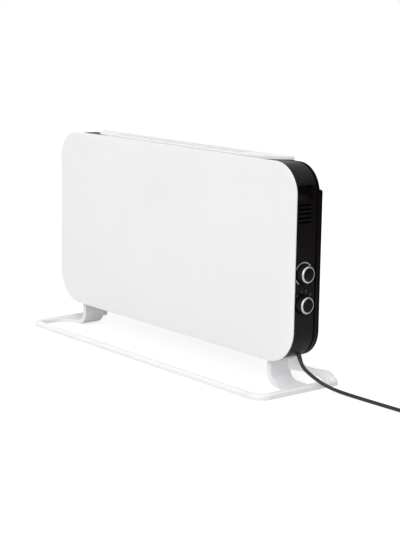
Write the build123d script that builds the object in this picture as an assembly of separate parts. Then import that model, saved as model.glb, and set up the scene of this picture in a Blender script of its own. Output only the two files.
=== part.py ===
from build123d import *
import os
from math import asin, atan2, cos, hypot, pi, radians, sin, sqrt, tan

# Portable convector heater, millimetres. X runs to the control end, Y to the
# rear, Z up. The pieces are drawn from the floor, midway between the casing's
# ends and at the face of the front panel, and moved together at the end.

# front panel
panel_width = 770.0
panel_height = 380.0
panel_bottom = 53.0
panel_corner_top = 60.0
panel_corner_low = 67.0
panel_sheet = 1.0
panel_hem = 2.4
panel_hem_width = 8.0

# casing behind it
case_rise = 6.5
case_drop = 3.5
case_corner = 55.0
case_rear = 58.0
seam = 0.3
sheet = 0.8
pressed_round = 1.2

# end caps
cap_length = 84.0
cap_wall = 3.0
cap_face_wall = 2.5
cap_face_rim = 14.0
cap_tongue_length = 79.0
cap_tongue_height = 12.0
groove_front = 50.0
groove_width = 5.0
groove_depth = 2.6

# grip recess and vent slits in each end cap
grip_drop = 37.5
grip_height = 30.0
grip_depth = 11.0
grip_front = 5.6
grip_width = 36.4
grip_wall = 2.5
slit_drop = 36.0
slit_pitch = 8.0
slit_count = 5
slit_height = 3.4
slit_length = 33.0

# top cover
cover_rise = 6.5
cover_front = 9.0
cover_rear = 66.0
cover_inset = 52.0
cover_sweep = 111.0
outlet_slot_length = 40.0
outlet_slot_width = 3.6
outlet_slot_pitch = 46.0
outlet_slot_count = 9
outlet_row_pitch = 11.0

# rear cover
back_drop = 48.0
back_sheet = 0.8
back_top_corner = 5.0
louvre_width = 5.0
louvre_height = 42.0
louvre_pitch = 24.0
louvre_count = 23
louvre_inset = 50.0

# base pan
base_slot_length = 34.0
base_slot_width = 6.0
base_slot_pitch = 44.0
base_slot_count = 11
base_flange = 18.0

# heating elements
element_fin_length = 20.0
element_fin_thickness = 1.6
element_core = 5.0
element_rise = 68.5
element_spacing = 62.0
element_y = 33.0
cold_end_radius = 3.2
cold_end_length = 30.0
bush_radius = 7.0

# knobs, spindles and what they turn
knob_y = 23.0
knob_rise = 110.5
knob_spacing = 58.0
knob_radius = 18.0
knob_rim_radius = 17.3
knob_height = 15.6
knob_wall = 2.0
ring_outer = 16.7
ring_inner = 13.8
ring_depth = 3.4
disc_depth = 2.6
seat_radius = 19.4
seat_depth = 1.2
spindle_radius = 3.0
spindle_clearance = 0.05
plate_setback = 16.0
plate_thickness = 1.5
plate_reach = 38.0
plate_front = 17.0
plate_rear = 20.0
plate_return = 12.0
post_radius = 4.0
post_reach = 32.0
post_spread = 12.0
thermostat_depth = 20.0
selector_depth = 16.0
switch_width = 26.0
switch_height = 32.0
bushing_length = 6.0
bushing_radius = 5.0

# feet and the rail that joins them
foot_bottom = 1.0
pad_height = 2.6
pad_radius = 6.0
rail_width = 16.0
rail_height = 10.0
rail_round = 3.5
rail_overhang = 3.0
rail_reach = 83.0
rail_corner = 30.0
rail_rear = 122.0
tongue_length = 17.0
wall_inset = 81.0
wall_thickness = 10.0
wall_front = 11.0
wall_rear = 60.0
instep_thickness = 7.0
instep_round = 24.0
instep_under_round = 30.0
flare_radius = 44.0
web_thickness = 9.0
foot_flange_width = 32.0
foot_flange_thickness = 4.0
foot_flange_round = 16.0
foot_screw_offset = 24.0
foot_screw_ys = (22.0, 49.0)

# screws
screw_radius = 1.5
pilot_radius = 1.6
boss_radius = 4.5

# mains cord
cord_diameter = 7.0
gland_offset = 26.0
gland_y = 43.0
gland_radius = 4.8
gland_collar = 6.5
gland_out = 13.0
gland_in = 9.0
collar_step = 0.2
coil_x = 660.0
coil_y = 128.0
coil_turn_gap = 2.0
coil_layer_gap = 0.6
coil_mid_radius = 40.0
tie_width = 10.0
tie_thickness = 0.8
plug_radius = 18.0
plug_length = 55.0
pin_radius = 2.4
pin_length = 19.0
pin_spacing = 19.0

# places that follow from those sizes
panel_top = panel_bottom + panel_height
case_bottom = panel_bottom + case_rise
case_top = panel_top - case_drop
end_x = panel_width / 2
cap_front = panel_hem + seam
cap_inner_x = end_x - cap_length
cap_floor = case_bottom + cap_wall
back_front = case_rear + seam
back_top = case_top - back_drop
knob_low = case_bottom + knob_rise
knob_high = knob_low + knob_spacing


def solid(shape):
    """The one clean solid that a shape holds, or the shape itself."""
    found = shape.solids()
    return found[0] if len(found) == 1 else shape


def slab(face, front, rear):
    """A face drawn in X and Z, made solid from y = front to y = rear."""
    return extrude(Plane.XZ.offset(-front) * face, amount=-(rear - front))


def box(low, high):
    """A box between two corners."""
    size = [b - a for a, b in zip(low, high)]
    middle = [(a + b) / 2 for a, b in zip(low, high)]
    return Pos(*middle) * Box(*size)


def rod_x(radius, x0, x1, y, z):
    """A round rod along X."""
    return Pos((x0 + x1) / 2, y, z) * Rot(0, 90, 0) * Cylinder(radius, abs(x1 - x0))


def rod_y(radius, y0, y1, x, z):
    """A round rod along Y."""
    return Pos(x, (y0 + y1) / 2, z) * Rot(90, 0, 0) * Cylinder(radius, y1 - y0)


def rod_z(radius, z0, z1, x, y):
    """A round rod along Z."""
    return Pos(x, y, (z0 + z1) / 2) * Cylinder(radius, z1 - z0)


def turned_to_x(profile, x, y, z):
    """Radius and height points, turned about Z and then laid along X."""
    body = revolve(Plane.XZ * make_face(Polyline(*profile, close=True)), Axis.Z)
    return Pos(x, y, z) * Rot(0, 90, 0) * body


def rounded_outline(width, bottom, top, low_corner, high_corner):
    """A rectangle in X and Z with its own corner radius below and above."""
    face = Pos(0, (bottom + top) / 2) * Rectangle(width, top - bottom)
    face = fillet(face.vertices().group_by(Axis.Y)[0], low_corner)
    return fillet(face.vertices().sort_by(Axis.Y)[-2:], high_corner)


def case_outline(inset):
    """The casing's end view, drawn smaller by an inset."""
    corner = case_corner - inset
    low = case_bottom + inset
    high = case_top - inset
    return rounded_outline(panel_width - 2 * inset, low, high, corner, corner)


def row_places(count, pitch):
    """Places of a row of equal steps about the middle."""
    return [(n - (count - 1) / 2) * pitch for n in range(count)]


# front panel, a pressed sheet, and the strips that hold it

def front_panel():
    """Pressed sheet with a hem folded back all round."""
    outline = rounded_outline(
        panel_width, panel_bottom, panel_top, panel_corner_low, panel_corner_top
    )
    body = slab(outline, 0, panel_hem)
    body = fillet(body.faces().sort_by(Axis.Y)[0].edges(), panel_sheet)
    pocket = rounded_outline(
        panel_width - 2 * panel_hem_width,
        panel_bottom + panel_hem_width,
        panel_top - panel_hem_width,
        panel_corner_low - panel_hem_width,
        panel_corner_top - panel_hem_width,
    )
    return body - slab(pocket, panel_sheet, panel_hem + 1)


panel_standoff = 8.2
shield_y = panel_hem + panel_standoff
bracket_offset = 190.0
bracket_width = 30.0
bracket_flange = 9.0
bracket_margin = 40.0


def panel_brackets():
    """Two hat strips that hold the panel off the heat shield."""
    low = panel_bottom + bracket_margin
    high = panel_top - bracket_margin
    half = bracket_width / 2
    strips = []
    for x in (-bracket_offset, bracket_offset):
        hat = box((x - half, panel_sheet, low), (x + half, shield_y, high))
        hat += box(
            (x - half - bracket_flange, shield_y - sheet, low),
            (x + half + bracket_flange, shield_y, high),
        )
        hat -= box(
            (x - half + sheet, panel_sheet + sheet, low - 1),
            (x + half - sheet, shield_y + 1, high + 1),
        )
        strips.append(solid(hat))
    return Compound(children=strips)


# end caps

inner_wall_x = end_x - cap_wall
back_screw_x = end_x - 36
back_screw_zs = (case_bottom + 36, knob_high + 60, back_top - 22)
foot_screw_x = end_x - wall_inset + foot_screw_offset


def cap_walls():
    """The bare shell of an end cap, with its groove, rear wall and tongue."""
    shell = slab(case_outline(0), cap_front, case_rear)
    shell -= slab(case_outline(cap_wall), cap_front + cap_face_wall, case_rear + 1)
    shell -= slab(case_outline(cap_face_rim), cap_front - 1, case_rear)
    ring = case_outline(0) - case_outline(cap_wall + groove_depth)
    shell += slab(ring, groove_front - cap_wall, case_rear)
    around = rounded_outline(
        panel_width + 8, case_bottom - 4, case_top + 4, case_corner, case_corner
    )
    groove = around - case_outline(groove_depth)
    shell -= slab(groove, groove_front, groove_front + groove_width)
    keep = box((cap_inner_x, 0, 0), (end_x + 1, case_rear + 1, case_top + 1))
    tongue_x = cap_inner_x - cap_tongue_length
    tongue_z = case_top - cap_tongue_height
    keep += box((tongue_x, 0, tongue_z), (cap_inner_x + 1, case_rear + 1, case_top + 1))
    rear_wall = slab(case_outline(cap_wall), case_rear - cap_face_wall, case_rear)
    rear_wall &= box((cap_inner_x, 0, back_top - 12), (end_x, case_rear, case_top))
    return (shell & keep) + rear_wall


grip_top = case_top - grip_drop
grip_bottom = grip_top - grip_height
grip_rear = grip_front + grip_width


def grip_outline(extra):
    """The grip scoop in X and Z: a straight lip above, a curved ramp below."""
    corner_rise = grip_top - (case_top - case_corner)
    lip_x = end_x - case_corner + sqrt(case_corner**2 - corner_rise**2)
    deep_x = lip_x - grip_depth - extra
    lip_z = grip_top + extra
    far_x = end_x + 4
    ramp_top = (deep_x, grip_top - 6)
    ramp_low = (end_x - extra, grip_bottom - extra)
    middle = (deep_x + 2.6, (ramp_top[1] + ramp_low[1]) / 2 - 3)
    return make_face(
        [
            Line((far_x, lip_z), (deep_x, lip_z)),
            Line((deep_x, lip_z), ramp_top),
            ThreePointArc(ramp_top, middle, ramp_low),
            Line(ramp_low, (far_x, grip_bottom - extra)),
            Line((far_x, grip_bottom - extra), (far_x, lip_z)),
        ]
    )


def cap_posts():
    """Screw posts, each with a rib to the wall, and bosses for the foot."""
    posts = []
    front = cap_front + cap_face_wall - 0.5
    for z in back_screw_zs:
        posts.append(rod_y(boss_radius, front, case_rear - seam, back_screw_x, z))
        rib = box((back_screw_x, front, z - 1.2), (end_x, case_rear - 6, z + 1.2))
        posts.append(rib & slab(case_outline(1), cap_front, case_rear))
    for y in foot_screw_ys:
        posts.append(rod_z(boss_radius, case_bottom + 1, case_bottom + 15, foot_screw_x, y))
    return posts


def cap_pilots():
    """Pilot holes in those posts and bosses."""
    holes = []
    for z in back_screw_zs:
        holes.append(rod_y(pilot_radius, case_rear - 15, case_rear + 1, back_screw_x, z))
    for y in foot_screw_ys:
        holes.append(rod_z(pilot_radius, case_bottom - 1, case_bottom + 13, foot_screw_x, y))
    return holes


def vent_slits():
    """Slits through the side wall, below the grip."""
    slit = fillet(Rectangle(slit_length, slit_height).vertices(), 1.2)
    slits = []
    for row in range(slit_count):
        z = grip_top - slit_drop - row * slit_pitch
        middle = (end_x - 2 * cap_wall, grip_front + slit_length / 2, z)
        plane = Plane(middle, x_dir=(0, 1, 0), z_dir=(1, 0, 0))
        slits.append(extrude(plane * slit, amount=4 * cap_wall))
    return slits


def control_seats():
    """Round seats under the knobs, with the holes for their spindles."""
    cuts = []
    for z in (knob_high, knob_low):
        cuts.append(rod_x(seat_radius, end_x - seat_depth, end_x + 1, knob_y, z))
        cuts.append(rod_x(spindle_radius + 1.2, end_x - 2 * cap_wall, end_x, knob_y, z))
    return cuts


def end_cap(with_controls):
    """Right-hand end cap; the left one is its mirror image without controls."""
    cap = cap_walls()
    for post in cap_posts():
        cap += post
    inside = slab(case_outline(0), cap_front, groove_front)
    cap += slab(grip_outline(grip_wall), grip_front - grip_wall, grip_rear + grip_wall) & inside
    if with_controls:
        for y, z in plate_posts():
            cap += rod_x(post_radius, plate_x + plate_thickness, inner_wall_x + 0.5, y, z)
    cap -= slab(grip_outline(0), grip_front, grip_rear)
    for cut in cap_pilots() + vent_slits():
        cap -= cut
    if with_controls:
        for cut in control_seats():
            cap -= cut
        for y, z in plate_posts():
            cap -= rod_x(pilot_radius, plate_x, plate_x + 9, y, z)
        cap -= gland_rod(gland_radius + 0.1, -2 * cap_wall, cap_wall)
        cap -= gland_rod(gland_collar + 0.1, -2 * gland_in, -cap_wall - collar_step)
    return solid(cap)


# top cover

def cover_plan(inset):
    """Plan view: straight front, swept ends, straight rear."""
    x1 = end_x - cover_inset - inset
    x0 = end_x - cover_inset - cover_sweep
    y0 = cover_front + inset
    y1 = cover_rear - inset
    half = x1 - x0
    rise = y1 - y0
    radius = (half**2 + rise**2) / (2 * rise)
    mid = atan2(half, radius - rise) / 2
    bow_x = x0 + radius * sin(mid)
    bow_y = y0 + radius * (1 - cos(mid))
    return make_face(
        [
            Line((-x0, y0), (x0, y0)),
            ThreePointArc((x0, y0), (bow_x, bow_y), (x1, y1)),
            Line((x1, y1), (-x1, y1)),
            ThreePointArc((-x1, y1), (-bow_x, bow_y), (-x0, y0)),
        ]
    )


def top_cover():
    """Pressed tray over the outlet, with rows of slots and a rear skirt."""
    low = case_top + seam
    top = case_top + cover_rise
    tray = extrude(Pos(0, 0, low) * cover_plan(0), amount=top - low)
    tray = fillet(tray.faces().sort_by(Axis.Z)[-1].edges(), pressed_round)
    tray -= extrude(Pos(0, 0, low - 1) * cover_plan(sheet), amount=top - low + 1 - sheet)
    slot = SlotOverall(outlet_slot_length, outlet_slot_width)
    middle_y = (cover_front + case_rear) / 2
    for y in row_places(3, outlet_row_pitch):
        for x in row_places(outlet_slot_count, outlet_slot_pitch):
            tray -= extrude(Pos(x, middle_y + y, top - 2 * sheet) * slot, amount=4 * sheet)
    skirt_half = end_x - cover_inset - 4
    skirt = box(
        (-skirt_half, cover_rear - sheet, back_top + 2 * seam),
        (skirt_half, cover_rear, low + 2),
    )
    lip_half = cap_inner_x - cap_tongue_length - seam
    lip = box(
        (-lip_half, cover_front, case_top - cap_tongue_height),
        (lip_half, cover_front + sheet, low + 2),
    )
    return solid(tray + skirt + lip)


# rear cover

def rear_cover():
    """Black pan with a flange all round and two bands of upright louvres."""
    outline = rounded_outline(panel_width, case_bottom, back_top, case_corner, back_top_corner)
    body = slab(outline, back_front, cover_rear)
    body = fillet(body.faces().sort_by(Axis.Y)[-1].edges(), pressed_round)
    hollow = rounded_outline(
        panel_width - 2 * back_sheet,
        case_bottom + back_sheet,
        back_top - back_sheet,
        case_corner - back_sheet,
        back_top_corner - back_sheet,
    )
    body -= slab(hollow, back_front - 1, cover_rear - back_sheet)
    slot = SlotOverall(louvre_height, louvre_width, rotation=90)
    for z in (case_bottom + louvre_inset, back_top - louvre_inset):
        for x in row_places(louvre_count, louvre_pitch):
            body -= slab(Pos(x, z) * slot, cover_rear - 2 * back_sheet, cover_rear + 1)
    for x in (-back_screw_x, back_screw_x):
        for z in back_screw_zs:
            body += rod_y(6.0, back_front, cover_rear - back_sheet / 2, x, z)
            body -= rod_y(screw_radius + 0.3, back_front - 1, cover_rear + 1, x, z)
            body -= rod_y(3.4, cover_rear - 1.8, cover_rear + 1, x, z)
    return solid(body)


def rear_screws():
    """Six screws through the rear cover into the end caps."""
    screws = []
    under = cover_rear - 1.8
    for x in (-back_screw_x, back_screw_x):
        for z in back_screw_zs:
            head = rod_y(3.1, under, cover_rear - 0.2, x, z)
            shank = rod_y(screw_radius, case_rear - 12, under, x, z)
            cross = box((x - 1.8, under + 0.9, z - 0.35), (x + 1.8, cover_rear, z + 0.35))
            cross += box((x - 0.35, under + 0.9, z - 1.8), (x + 0.35, cover_rear, z + 1.8))
            screws.append(solid(head + shank - cross))
    return Compound(children=screws)


# base pan and heat shield

base_front = shield_y - sheet
base_half = cap_inner_x - seam
shield_half = cap_inner_x - 5
shield_top = case_top - cap_tongue_height - 4


def base_pan():
    """Folded pan under the casing, with two rows of intake slots."""
    top = case_bottom + sheet
    rim = top + base_flange
    pan = box((-base_half, base_front, case_bottom), (base_half, case_rear, top))
    pan += box((-base_half, base_front, case_bottom), (base_half, shield_y, rim))
    pan += box((-base_half, case_rear - sheet, case_bottom), (base_half, case_rear, rim))
    slot = SlotOverall(base_slot_length, base_slot_width)
    for y in (base_front + 15, case_rear - 15):
        for x in row_places(base_slot_count, base_slot_pitch):
            pan -= extrude(Pos(x, y, case_bottom - 1) * slot, amount=sheet + 2)
    return solid(pan)


def heat_shield():
    """Bright sheet behind the panel, folded back at both ends."""
    low = case_bottom + sheet
    back = case_rear - 6
    shield = box((-shield_half, shield_y, low), (shield_half, shield_y + sheet, shield_top))
    for x in (-shield_half, shield_half - sheet):
        shield += box((x, shield_y, low), (x + sheet, back, shield_top))
    window_low = element_heights()[0] - 12
    window_high = element_heights()[1] + 12
    shield -= box(
        (-shield_half - 1, element_y - 9, window_low),
        (-shield_half + 2 * sheet, element_y + 9, window_high),
    )
    shield -= box(
        (shield_half - 2 * sheet, element_y - 9, window_low),
        (shield_half + 1, element_y + 9, window_high),
    )
    brow = box(
        (-shield_half, shield_y, shield_top - sheet),
        (shield_half, shield_y + 12, shield_top),
    )
    return solid(shield + brow)


# heating elements

bracket_x = shield_half - 20
element_half_length = bracket_x - 14


def element_heights():
    """Heights of the two elements."""
    low = case_bottom + element_rise
    return (low, low + element_spacing)


def heating_element(z):
    """Drawn core with four straight fins and a cold pin at each end."""
    profile = Circle(element_core)
    fin = Pos(element_core + element_fin_length / 2 - 1, 0) * Rectangle(
        element_fin_length, element_fin_thickness
    )
    for angle in (35, 145, 215, 325):
        profile += Rot(0, 0, angle) * fin
    plane = Plane((-element_half_length, element_y, z), x_dir=(0, 1, 0), z_dir=(1, 0, 0))
    body = extrude(plane * profile, amount=2 * element_half_length)
    reach = element_half_length + cold_end_length
    return solid(body + rod_x(cold_end_radius, -reach, reach, element_y, z))


def element_bracket(side):
    """Upright plate that carries the ends of both elements."""
    low = case_bottom + sheet
    front = shield_y + sheet
    back = case_rear - 7
    x0, x1 = sorted((side * bracket_x, side * (bracket_x + sheet)))
    plate = box((x0, front, low), (x1, back, element_heights()[1] + 26))
    foot_x0, foot_x1 = sorted((side * (bracket_x + sheet), side * (bracket_x - 14)))
    plate += box((foot_x0, front, low), (foot_x1, back, low + sheet))
    for z in element_heights():
        plate -= rod_x(bush_radius + 0.1, x0 - 1, x1 + 1, element_y, z)
    return solid(plate)


def element_bushes():
    """Four ceramic bushes with a collar, one in each bracket hole."""
    bushes = []
    for side in (-1, 1):
        inner = side * (bracket_x - 4)
        seat = side * bracket_x
        outer = side * (bracket_x + 6)
        for z in element_heights():
            bush = rod_x(bush_radius, inner, outer, element_y, z)
            bush += rod_x(bush_radius + 2.5, inner, seat, element_y, z)
            bush -= rod_x(cold_end_radius + 0.1, inner - side, outer + side, element_y, z)
            bushes.append(solid(bush))
    return Compound(children=bushes)


cutout_x = 186.0
cutout_radius = 8.5
cutout_body = 9.0
clip_half = 21.0
clip_width = 16.0


def cutout_height():
    """Height of the thermal switch, above the upper element."""
    return element_heights()[1] + 120


def overheat_cutout():
    """Round thermal switch with a boss and two flat tabs."""
    z = cutout_height()
    y0 = shield_y + sheet
    body = rod_y(cutout_radius, y0, y0 + cutout_body, cutout_x, z)
    body += rod_y(cutout_radius - 2.5, y0 + cutout_body - 1, y0 + cutout_body + 3, cutout_x, z)
    for x in (cutout_x - 3.2, cutout_x + 3.2):
        tab_y = y0 + cutout_body + 2
        body += box((x - 0.4, tab_y, z - 3), (x + 0.4, tab_y + 10, z + 3))
    return solid(body)


def cutout_clip():
    """Spring strap that presses the thermal switch to the shield."""
    z = cutout_height()
    y0 = shield_y + sheet
    arch = cutout_radius + 1.5
    low = z - clip_width / 2
    high = z + clip_width / 2
    clip = box((cutout_x - clip_half, y0, low), (cutout_x + clip_half, y0 + 1, high))
    clip += box((cutout_x - arch, y0, low), (cutout_x + arch, y0 + cutout_body + 1, high))
    clip -= box(
        (cutout_x - arch + 1, y0 - 1, low - 1),
        (cutout_x + arch - 1, y0 + cutout_body, high + 1),
    )
    clip -= rod_y(cutout_radius - 2.4, y0, y0 + cutout_body + 2, cutout_x, z)
    return solid(clip)


# controls

plate_x = end_x - plate_setback
knob_back_x = end_x - seat_depth + 0.6
knob_face_x = knob_back_x + knob_height
rebate = knob_height - ring_depth
spindle_end_x = knob_face_x - 5.2


def plate_posts():
    """Places of the four posts that carry the control plate."""
    low = knob_low - post_reach
    high = knob_high + post_reach
    return [(y, z) for y in (knob_y - post_spread, knob_y + post_spread) for z in (low, high)]


def control_plate():
    """Steel plate that carries the thermostat and the switch."""
    low = knob_low - plate_reach
    high = knob_high + plate_reach
    back = knob_y + plate_rear
    x1 = plate_x + plate_thickness
    plate = box((plate_x, knob_y - plate_front, low), (x1, back, high))
    plate += box((plate_x - plate_return, back - plate_thickness, low), (x1, back, high))
    for z in (knob_high, knob_low):
        plate -= rod_x(bushing_radius + 0.1, plate_x - 1, x1 + 1, knob_y, z)
    for y, z in plate_posts():
        plate -= rod_x(pilot_radius, plate_x - 1, x1 + 1, y, z)
    return solid(plate)


def plate_screws():
    """Four screws that hold the control plate to its posts."""
    screws = []
    for y, z in plate_posts():
        head = rod_x(3.0, plate_x - 2, plate_x, y, z)
        shank = rod_x(screw_radius, plate_x - 1, plate_x + 8, y, z)
        screws.append(solid(head + shank))
    return Compound(children=screws)


tab_pitch = 8.0
tab_length = 8.0


def switch_body(z, depth):
    """Switch housing, three tabs and a round bushing through the plate."""
    half = switch_width / 2
    back = plate_x - depth
    body = box(
        (back, knob_y - half, z - switch_height / 2),
        (plate_x, knob_y + half, z + switch_height / 2),
    )
    body = chamfer(body.edges().filter_by(Axis.X), 2)
    body += rod_x(bushing_radius, plate_x - 1, plate_x + bushing_length, knob_y, z)
    for step in row_places(3, tab_pitch):
        tab_z = z + step
        body += box((back - tab_length, knob_y - 3, tab_z - 0.4), (back, knob_y + 3, tab_z + 0.4))
    bore = spindle_radius + spindle_clearance
    body -= rod_x(bore, plate_x - depth / 2, plate_x + bushing_length + 1, knob_y, z)
    return solid(body)


def spindle(z, depth):
    """Round spindle from the switch housing into the knob, with a flat."""
    start = plate_x - depth / 2 + 0.4
    body = rod_x(spindle_radius, start, spindle_end_x, knob_y, z)
    flat_x = knob_back_x + 3
    body -= box((flat_x, knob_y - 4, z + 1.8), (spindle_end_x + 1, knob_y + 4, z + 4))
    return solid(body)


def knob(z):
    """Hollow knob: tapered skirt, hub with a flatted bore, rebate for the ring."""
    rim = knob_height - 0.5
    outside = [
        (0, 0),
        (knob_radius, 0),
        (knob_radius, 2.2),
        (knob_rim_radius, rim),
        (ring_outer + 0.03, rim),
        (ring_outer + 0.03, rebate),
        (0, rebate),
    ]
    hub = spindle_radius + 3
    roof = rebate - knob_wall
    cavity = [
        (hub, -1),
        (knob_radius - knob_wall, -1),
        (knob_rim_radius - knob_wall, roof),
        (hub, roof),
    ]
    body = turned_to_x(outside, knob_back_x, knob_y, z)
    body -= turned_to_x(cavity, knob_back_x, knob_y, z)
    bore_end = spindle_end_x + 0.2
    hole = rod_x(spindle_radius + 0.03, knob_back_x - 1, bore_end, knob_y, z)
    hole -= box((knob_back_x + 3.4, knob_y - 4, z + 1.83), (bore_end + 1, knob_y + 4, z + 4))
    return solid(body - hole)


def knob_ring(z):
    """Bright ring with a bevelled face, seated in the knob."""
    profile = [
        (ring_inner, rebate),
        (ring_outer, rebate),
        (ring_outer, knob_height - 0.7),
        (ring_outer - 0.7, knob_height),
        (ring_inner + 0.7, knob_height - 0.5),
        (ring_inner, knob_height - 1.1),
    ]
    return solid(turned_to_x(profile, knob_back_x, knob_y, z))


def knob_disc(z):
    """Black face disc inside the ring."""
    edge = ring_inner - 0.03
    top = rebate + disc_depth
    profile = [(0, rebate), (edge, rebate), (edge, top - 0.8), (edge - 0.8, top - 0.3), (0, top)]
    return solid(turned_to_x(profile, knob_back_x, knob_y, z))


# wiring inside the control end

terminal_half = 13.0
terminal_x = cap_inner_x + 3 + terminal_half
terminal_y = sum(foot_screw_ys) / 2
terminal_top = cap_floor + 25
terminal_pitch = 9.0
lead_radius = 1.4


def terminal_block():
    """Three-way block on the end cap's floor, between the screw bosses."""
    body = box(
        (terminal_x - terminal_half, terminal_y - 7, cap_floor),
        (terminal_x + terminal_half, terminal_y + 7, terminal_top),
    )
    for shift in row_places(3, terminal_pitch):
        x = terminal_x + shift
        body -= rod_z(lead_radius + 0.1, terminal_top - 9, terminal_top + 1, x, terminal_y)
        body -= rod_y(2.0, terminal_y - 8, terminal_y - 3, x, cap_floor + 9)
    return solid(body)


def round_sweep(points, radii, radius):
    """A round tube along straight runs joined by tangent arcs."""
    path = FilletPolyline(*points, radius=radii)
    start = Plane(origin=path @ 0, z_dir=path % 0)
    return path, sweep(start * Circle(radius), path=path)


def internal_leads():
    """Leads between the terminal block, the switch and the elements."""
    start_z = terminal_top - 6
    switch_x = plate_x - selector_depth - tab_length - seam
    thermostat_x = plate_x - thermostat_depth - tab_length - seam
    pin_x = element_half_length + cold_end_length + seam
    low, high = element_heights()
    x1 = terminal_x - terminal_pitch
    x2 = terminal_x
    routes = [
        [
            (x1, terminal_y, start_z),
            (x1, terminal_y, start_z + 20),
            (x1 + 4, terminal_y - 4, knob_low - 46),
            (switch_x - 18, knob_y, knob_low - tab_pitch),
            (switch_x, knob_y, knob_low - tab_pitch),
        ],
        [
            (x2, terminal_y, start_z),
            (x2, terminal_y, start_z + 26),
            (x2 + 3, terminal_y - 4, knob_low - 20),
            (switch_x - 16, knob_y, knob_low),
            (switch_x, knob_y, knob_low),
        ],
        [
            (pin_x, element_y, low),
            (pin_x + 10, element_y, low),
            (pin_x + 14, element_y + 8, low + 24),
            (switch_x - 12, knob_y, knob_low + tab_pitch),
            (switch_x, knob_y, knob_low + tab_pitch),
        ],
        [
            (thermostat_x, knob_y, knob_high),
            (thermostat_x - 16, knob_y, knob_high),
            (pin_x + 12, element_y - 2, high + 20),
            (pin_x + 10, element_y, high),
            (pin_x, element_y, high),
        ],
    ]
    leads = []
    for points in routes:
        tube = round_sweep(points, [3, 5, 3], lead_radius)[1]
        leads.append(solid(tube))
    return Compound(children=leads)


# feet, each moulded in one piece, and the rail that joins them

rail_outer_x = end_x + rail_overhang
rail_inner_x = rail_outer_x - rail_width
rail_joint_x = rail_outer_x - rail_corner - 13
wall_x = end_x - wall_inset
wall_out_x = wall_x + wall_thickness
instep_top = foot_bottom + instep_thickness
foot_top = case_bottom - seam


def foot_profile():
    """Front view: flange under the casing, upright wall, curved instep."""
    end = rail_inner_x + 4
    outer = (wall_out_x + instep_round, instep_top + instep_round)
    under = (wall_x + instep_under_round, foot_bottom + instep_under_round)
    back = (wall_x + foot_flange_round, foot_top - foot_flange_round)
    inner_round = foot_flange_round / 2
    throat = (wall_out_x + inner_round, foot_top - foot_flange_thickness - inner_round)
    flange_x = wall_x + foot_flange_width
    flange_low = foot_top - foot_flange_thickness
    return make_face(
        [
            Line((flange_x, foot_top), (back[0], foot_top)),
            CenterArc(back, foot_flange_round, 90, 90),
            Line((wall_x, back[1]), (wall_x, under[1])),
            CenterArc(under, instep_under_round, 180, 90),
            Line((under[0], foot_bottom), (end, foot_bottom)),
            Line((end, foot_bottom), (end, instep_top)),
            Line((end, instep_top), (outer[0], instep_top)),
            CenterArc(outer, instep_round, 180, 90),
            Line((wall_out_x, outer[1]), (wall_out_x, throat[1])),
            CenterArc(throat, inner_round, 90, 90),
            Line((throat[0], flange_low), (flange_x, flange_low)),
            Line((flange_x, flange_low), (flange_x, foot_top)),
        ]
    )


def foot_plan():
    """Plan view of the wall and instep, flared forwards into the rail."""
    flare_x = rail_inner_x - flare_radius
    flare_y = wall_front - flare_radius
    end = rail_inner_x + 4
    return make_face(
        [
            Line((wall_x - 1, wall_front), (flare_x, wall_front)),
            CenterArc((flare_x, flare_y), flare_radius, 0, 90),
            Line((rail_inner_x, flare_y), (end, flare_y)),
            Line((end, flare_y), (end, wall_rear)),
            Line((end, wall_rear), (wall_x - 1, wall_rear)),
            Line((wall_x - 1, wall_rear), (wall_x - 1, wall_front)),
        ]
    )


def foot_wall():
    """Wall and instep: the front view seen through the plan."""
    strip = slab(foot_profile(), wall_front - flare_radius, wall_rear)
    return strip & extrude(foot_plan(), amount=foot_top)


def foot_rail():
    """Floor rail: from the front joint round the corner to the rear end."""
    front = -rail_reach
    back = front + rail_width
    centre = (rail_outer_x - rail_corner, front + rail_corner)
    tip = rail_width / 2
    tip_y = rail_rear - tip
    plan = make_face(
        [
            Line((rail_joint_x, front), (centre[0], front)),
            CenterArc(centre, rail_corner, 270, 90),
            Line((rail_outer_x, centre[1]), (rail_outer_x, tip_y)),
            CenterArc((rail_outer_x - tip, tip_y), tip, 0, 180),
            Line((rail_inner_x, tip_y), (rail_inner_x, centre[1])),
            CenterArc(centre, rail_corner - rail_width, 0, -90),
            Line((centre[0], back), (rail_joint_x, back)),
            Line((rail_joint_x, back), (rail_joint_x, front)),
        ]
    )
    rail = extrude(Pos(0, 0, foot_bottom) * plan, amount=rail_height)
    top_edges = rail.faces().sort_by(Axis.Z)[-1].edges()
    long_edges = [edge for edge in top_edges if edge.center().X > rail_joint_x + 0.1]
    return fillet(long_edges, rail_round)


def foot_web():
    """Rear web: from the top of the wall down to the rail's rear end."""
    start = (wall_x + wall_thickness / 2, wall_rear - 3)
    stop = (rail_outer_x - rail_width / 2, rail_rear - rail_width / 2 + 1)
    run = hypot(stop[0] - start[0], stop[1] - start[1])
    along = ((stop[0] - start[0]) / run, (stop[1] - start[1]) / run, 0)
    root = foot_bottom + instep_round + 2
    low = foot_bottom + 1
    heel = foot_bottom + rail_height + 2
    upper = Spline(
        [(0.09 * run, foot_top), (0.45 * run, 32), (0.72 * run, 28.4), (run, heel)],
        tangents=[(0.3, -1), (0.2, -1)],
    )
    under = Spline(
        [(0.82 * run, low), (0.72 * run, 13.5), (0.36 * run, 24), (0, root)],
        tangents=[(-0.3, 1), (-1, 0.1)],
    )
    profile = make_face(
        [
            Line((0, root), (0, foot_top)),
            Line((0, foot_top), (0.09 * run, foot_top)),
            upper,
            Line((run, heel), (run, low)),
            Line((run, low), (0.82 * run, low)),
            under,
        ]
    )
    plane = Plane((start[0], start[1], 0), x_dir=along, z_dir=(along[1], -along[0], 0))
    return extrude(plane * profile, amount=web_thickness / 2, both=True)


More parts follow.
